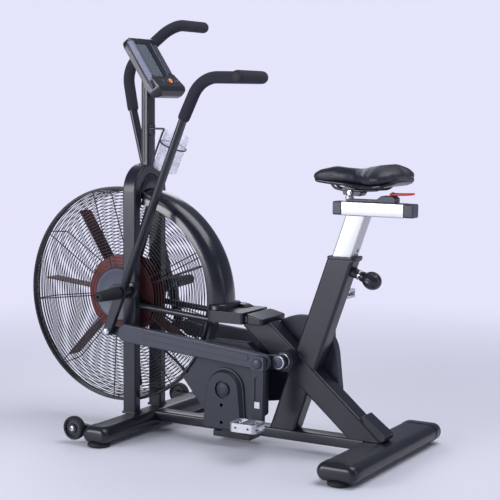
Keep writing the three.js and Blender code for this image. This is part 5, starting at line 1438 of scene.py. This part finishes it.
def between(stations, share):
    """Smoothly interpolated values of a table at a share of its length."""
    for (s0, *a), (s1, *b) in zip(stations, stations[1:]):
        if share <= s1:
            t = (share - s0) / (s1 - s0)
            t = t * t * (3 - 2 * t) * 0.5 + t * 0.5
            return [p + (q - p) * t for p, q in zip(a, b)]
    return list(stations[-1][1:])


def saddle_x(share):
    return SADDLE.low.x + 0.002 + (SADDLE.size.x - 0.004) * share


def wing_droop(y, half):
    """How far the saddle's broad rear bends down at a distance from its middle."""
    wing = max(0.0, (half - 0.035) / 0.07)
    return 0.017 * wing * abs(y / half) ** 2.2


def saddle_shape(shrink=0.0):
    """A padded saddle: narrow nose, broad rear, a shallow channel along the middle of the top."""
    rings = []
    lengths, around = 60, 48
    squareness = 0.75
    channel_depth, channel_width = 0.0045, 0.011
    for i in range(lengths + 1):
        share = 0.5 - 0.5 * math.cos(math.pi * i / lengths)
        half, top, bottom = between(SADDLE_STATIONS, share)
        half -= shrink
        z_top, z_low = top - shrink, bottom + shrink
        middle, rise = (z_top + z_low) / 2, (z_top - z_low) / 2
        ring = []
        for k in range(around):
            a = 2 * math.pi * k / around
            c, s = math.cos(a), math.sin(a)
            y = half * math.copysign(abs(c) ** squareness, c)
            z = middle + rise * math.copysign(abs(s) ** squareness, s)
            channel = 0.0
            if s > 0:
                channel = channel_depth * math.exp(-(y / channel_width) ** 2)
                channel *= smooth_step(0.25, 0.5, share)
            ring.append(Vector((saddle_x(share), y, z - wing_droop(y, half) - channel)))
        rings.append(ring)
    return sheet_rings(rings)


def smooth_step(low, high, value):
    t = min(1.0, max(0.0, (value - low) / (high - low)))
    return t * t * (3 - 2 * t)


def inflate(made, voxel=0.0045, pressure=4.0, cap=0.010):
    """Pads a closed shape by a short cloth simulation, with no point moving further than cap."""
    remesh = made.modifiers.new("remesh", "REMESH")
    remesh.mode, remesh.voxel_size = "VOXEL", voxel
    bpy.context.view_layer.update()
    result = made.evaluated_get(bpy.context.evaluated_depsgraph_get())
    mesh = bpy.data.meshes.new_from_object(result)
    made.modifiers.clear()
    made.data = mesh
    rest = [v.co.copy() for v in mesh.vertices]
    cloth = made.modifiers.new("cloth", "CLOTH")
    settings = cloth.settings
    settings.use_pressure, settings.uniform_pressure_force = True, pressure
    settings.effector_weights.gravity = 0
    settings.tension_stiffness, settings.compression_stiffness = 25, 25
    settings.bending_stiffness = 6
    scene = bpy.context.scene
    for number in range(1, 21):
        scene.frame_set(number)
    result = made.evaluated_get(bpy.context.evaluated_depsgraph_get())
    swollen = [v.co.copy() for v in result.data.vertices]
    made.modifiers.clear()
    for vertex, start, end in zip(mesh.vertices, rest, swollen):
        step = end - start
        if step.length > cap:
            step *= cap / step.length
        vertex.co = start + step
    scene.frame_set(1)


def build_saddle():
    """The padded cover, inflated by a cloth simulation, and the hard base under it."""
    pad = mesh_object("saddle_pad", saddle_shape(0.0025))
    inflate(pad, cap=0.006)
    smooth = pad.modifiers.new("round", "SUBSURF")
    smooth.levels = smooth.render_levels = 1
    dress(pad, LEATHER, angle=180)
    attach(pad, "saddle")
    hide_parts("saddle")

    rings = []
    for i in range(49):
        share = 0.04 + 0.92 * i / 48
        half, _, bottom = between(SADDLE_STATIONS, share)
        ring = []
        for a, b in rect(2 * half * BASE_SHARE, 0.010, 0.0045, 5):
            ring.append(Vector((saddle_x(share), a, bottom + b + 0.002 - wing_droop(a, half))))
        rings.append(ring)
    piece("saddle_base", "saddle", SHELL, sheet_rings(rings), angle=60)


# ------------------------------------------------------------------ bottle holder, belts and inside parts


def build_bottle_holder():
    """A leaning clear cup in a wire hoop, on a bent arm from the mast."""
    floor_x, floor_z, lean = -0.438, 0.772, math.radians(23)
    place = Matrix.Translation((floor_x, 0, floor_z)) @ Matrix.Rotation(lean, 4, "Y")
    profile = [(0.002, 0), (0.033, 0), (0.0365, 0.0035), (0.037, 0.040), (0.0355, 0.043), (0.037, 0.046),
               (0.037, 0.110), (0.0385, 0.1115), (0.0385, 0.1135), (0.0355, 0.1135), (0.0350, 0.046),
               (0.0335, 0.043), (0.0350, 0.040), (0.0345, 0.005), (0.032, 0.003), (0.002, 0.003)]
    piece("bottle_cup", "root", CLEAR, turned(profile, place, 72), replaces=["bottle_holder"], angle=50)
    mast = span("console_mast")
    hoop_height, hoop_radius = 0.078, 0.0388
    hoop = [place @ Vector((hoop_radius * math.cos(a), hoop_radius * math.sin(a), hoop_height))
            for a in (2 * math.pi * k / 60 for k in range(60))]
    piece("holder_hoop", "root", PLASTIC, wire_ring(hoop, 0.0022), angle=70)
    spine_x = -hoop_radius - 0.003
    start = Vector((mast.high.x - 0.001, -0.012, 0.893))
    top = place @ Vector((spine_x, -0.012, 0.122))
    low = place @ Vector((spine_x, -0.012, 0.012))
    arm = [start, Vector((top.x, -0.012, 0.893)), top.lerp(low, 0.15), low]
    piece("holder_arm", "root", PLASTIC, sweep(even(bent(arm, [0.008, 0.010]), 40), circle(0.0030, 14)),
          angle=70)
    pad = prism(rect(0.026, 0.036, 0.006, 5, (0, 0.889)), mast.high.x - 0.0005, mast.high.x + 0.0035, "X")
    piece("holder_pad", "root", PLASTIC, pad, bevel=0.001)


def build_inside():
    """The drive parts behind the covers, which keep their CAD shapes."""
    keep("fan_belt", RUBBER)
    keep("crank_belt", RUBBER)
    keep("jackshaft", STEEL)
    keep("jackshaft_bracket", PAINT, bevel=0.0015)


# ------------------------------------------------------------------ stage


BACKDROP = (0.78, 0.78, 0.97, 1)


def build_stage():
    """A pale floor that fades into the backdrop, the sky's light and four soft lamps."""
    size = 40
    corners = [(-size, -size, 0), (size, -size, 0), (size, size, 0), (-size, size, 0)]
    floor = mesh_object("floor", (corners, [[0, 1, 2, 3]]))
    floor.location.z = -0.0004
    material = bpy.data.materials.new("pale_floor")
    material.use_nodes = True
    tree = material.node_tree
    shader = tree.nodes["Principled BSDF"]
    shader.inputs["Base Color"].default_value = (0.80, 0.80, 0.86, 1)
    shader.inputs["Roughness"].default_value = 0.55
    where = add_node(tree, "ShaderNodeTexCoord")
    reach = add_node(tree, "ShaderNodeVectorMath")
    reach.operation = "LENGTH"
    link(tree, where, "Object", reach, 0)
    fade = add_node(tree, "ShaderNodeMapRange")
    fade.interpolation_type = "SMOOTHSTEP"
    fade.inputs["From Min"].default_value = 0.9
    fade.inputs["From Max"].default_value = 3.0
    link(tree, reach, "Value", fade, "Value")
    glow = add_node(tree, "ShaderNodeEmission", Color=BACKDROP, Strength=1.0)
    mix = add_node(tree, "ShaderNodeMixShader")
    link(tree, fade, "Result", mix, "Fac")
    link(tree, shader, "BSDF", mix, 1)
    link(tree, glow, "Emission", mix, 2)
    link(tree, mix, "Shader", tree.nodes["Material Output"], "Surface")
    floor.data.materials.append(material)

    world = bpy.data.worlds.new("studio")
    bpy.context.scene.world = world
    world.use_nodes = True
    tree = world.node_tree
    lit = tree.nodes["Background"]
    lit.inputs["Color"].default_value = (0.70, 0.76, 1.0, 1)
    lit.inputs["Strength"].default_value = 0.26
    seen = add_node(tree, "ShaderNodeBackground", Color=BACKDROP, Strength=1.0)
    rays = add_node(tree, "ShaderNodeLightPath")
    mix = add_node(tree, "ShaderNodeMixShader")
    link(tree, rays, "Is Camera Ray", mix, "Fac")
    link(tree, lit, "Background", mix, 1)
    link(tree, seen, "Background", mix, 2)
    link(tree, mix, "Shader", tree.nodes["World Output"], "Surface")

    def softbox(name, place, target, width, height, power):
        lamp = bpy.data.lights.new(name, "AREA")
        lamp.shape, lamp.size, lamp.size_y, lamp.energy = "RECTANGLE", width, height, power
        lamp.color = (0.93, 0.95, 1.0)
        made = bpy.data.objects.new(name, lamp)
        bpy.context.scene.collection.objects.link(made)
        made.location = Vector(place) + CRANK_AXLE
        made.rotation_euler = (Vector(target) - Vector(place)).to_track_quat("-Z", "Y").to_euler()

    softbox("key_light", (-1.9, -3.3, 1.3), (0, 0, 0.5), 1.9, 1.7, 95)
    softbox("top_light", (0.9, 0.3, 3.2), (0.1, 0, 0.4), 2.4, 2.4, 70)
    softbox("back_light", (-2.2, 2.4, 1.9), (0, 0, 0.6), 2.0, 1.6, 22)
    softbox("rear_light", (3.4, 0.4, 1.4), (0, 0, 0.6), 1.2, 1.8, 10)


def build_camera():
    """Behind the rider's left shoulder, about a metre up, with a long lens."""
    lens = bpy.data.cameras.new("camera")
    lens.sensor_width, lens.lens = 36.0, 97.17
    camera = bpy.data.objects.new("camera", lens)
    bpy.context.scene.collection.objects.link(camera)
    yaw, pitch, roll = 0.52260, 0.1063, 0.0081
    turn = Matrix.Rotation(yaw, 4, "Z") @ Matrix.Rotation(math.pi / 2 - pitch, 4, "X")
    turn = turn @ Matrix.Rotation(roll, 4, "Z")
    camera.matrix_world = Matrix.Translation(CRANK_AXLE + Vector((1.7495, -3.2931, 0.9606))) @ turn
    bpy.context.scene.camera = camera


# ------------------------------------------------------------------ assembly

bpy.context.scene.view_settings.view_transform = "Standard"
build_stage()
build_camera()
build_fan()
build_arch()
build_mast()
build_rear_frame()
build_base()
build_covers()
build_top_cover()
build_crank()
for hand in SIDES:
    build_handle(hand)
    build_peg(hand)
build_console()
build_seat()
build_bottle_holder()
build_inside()
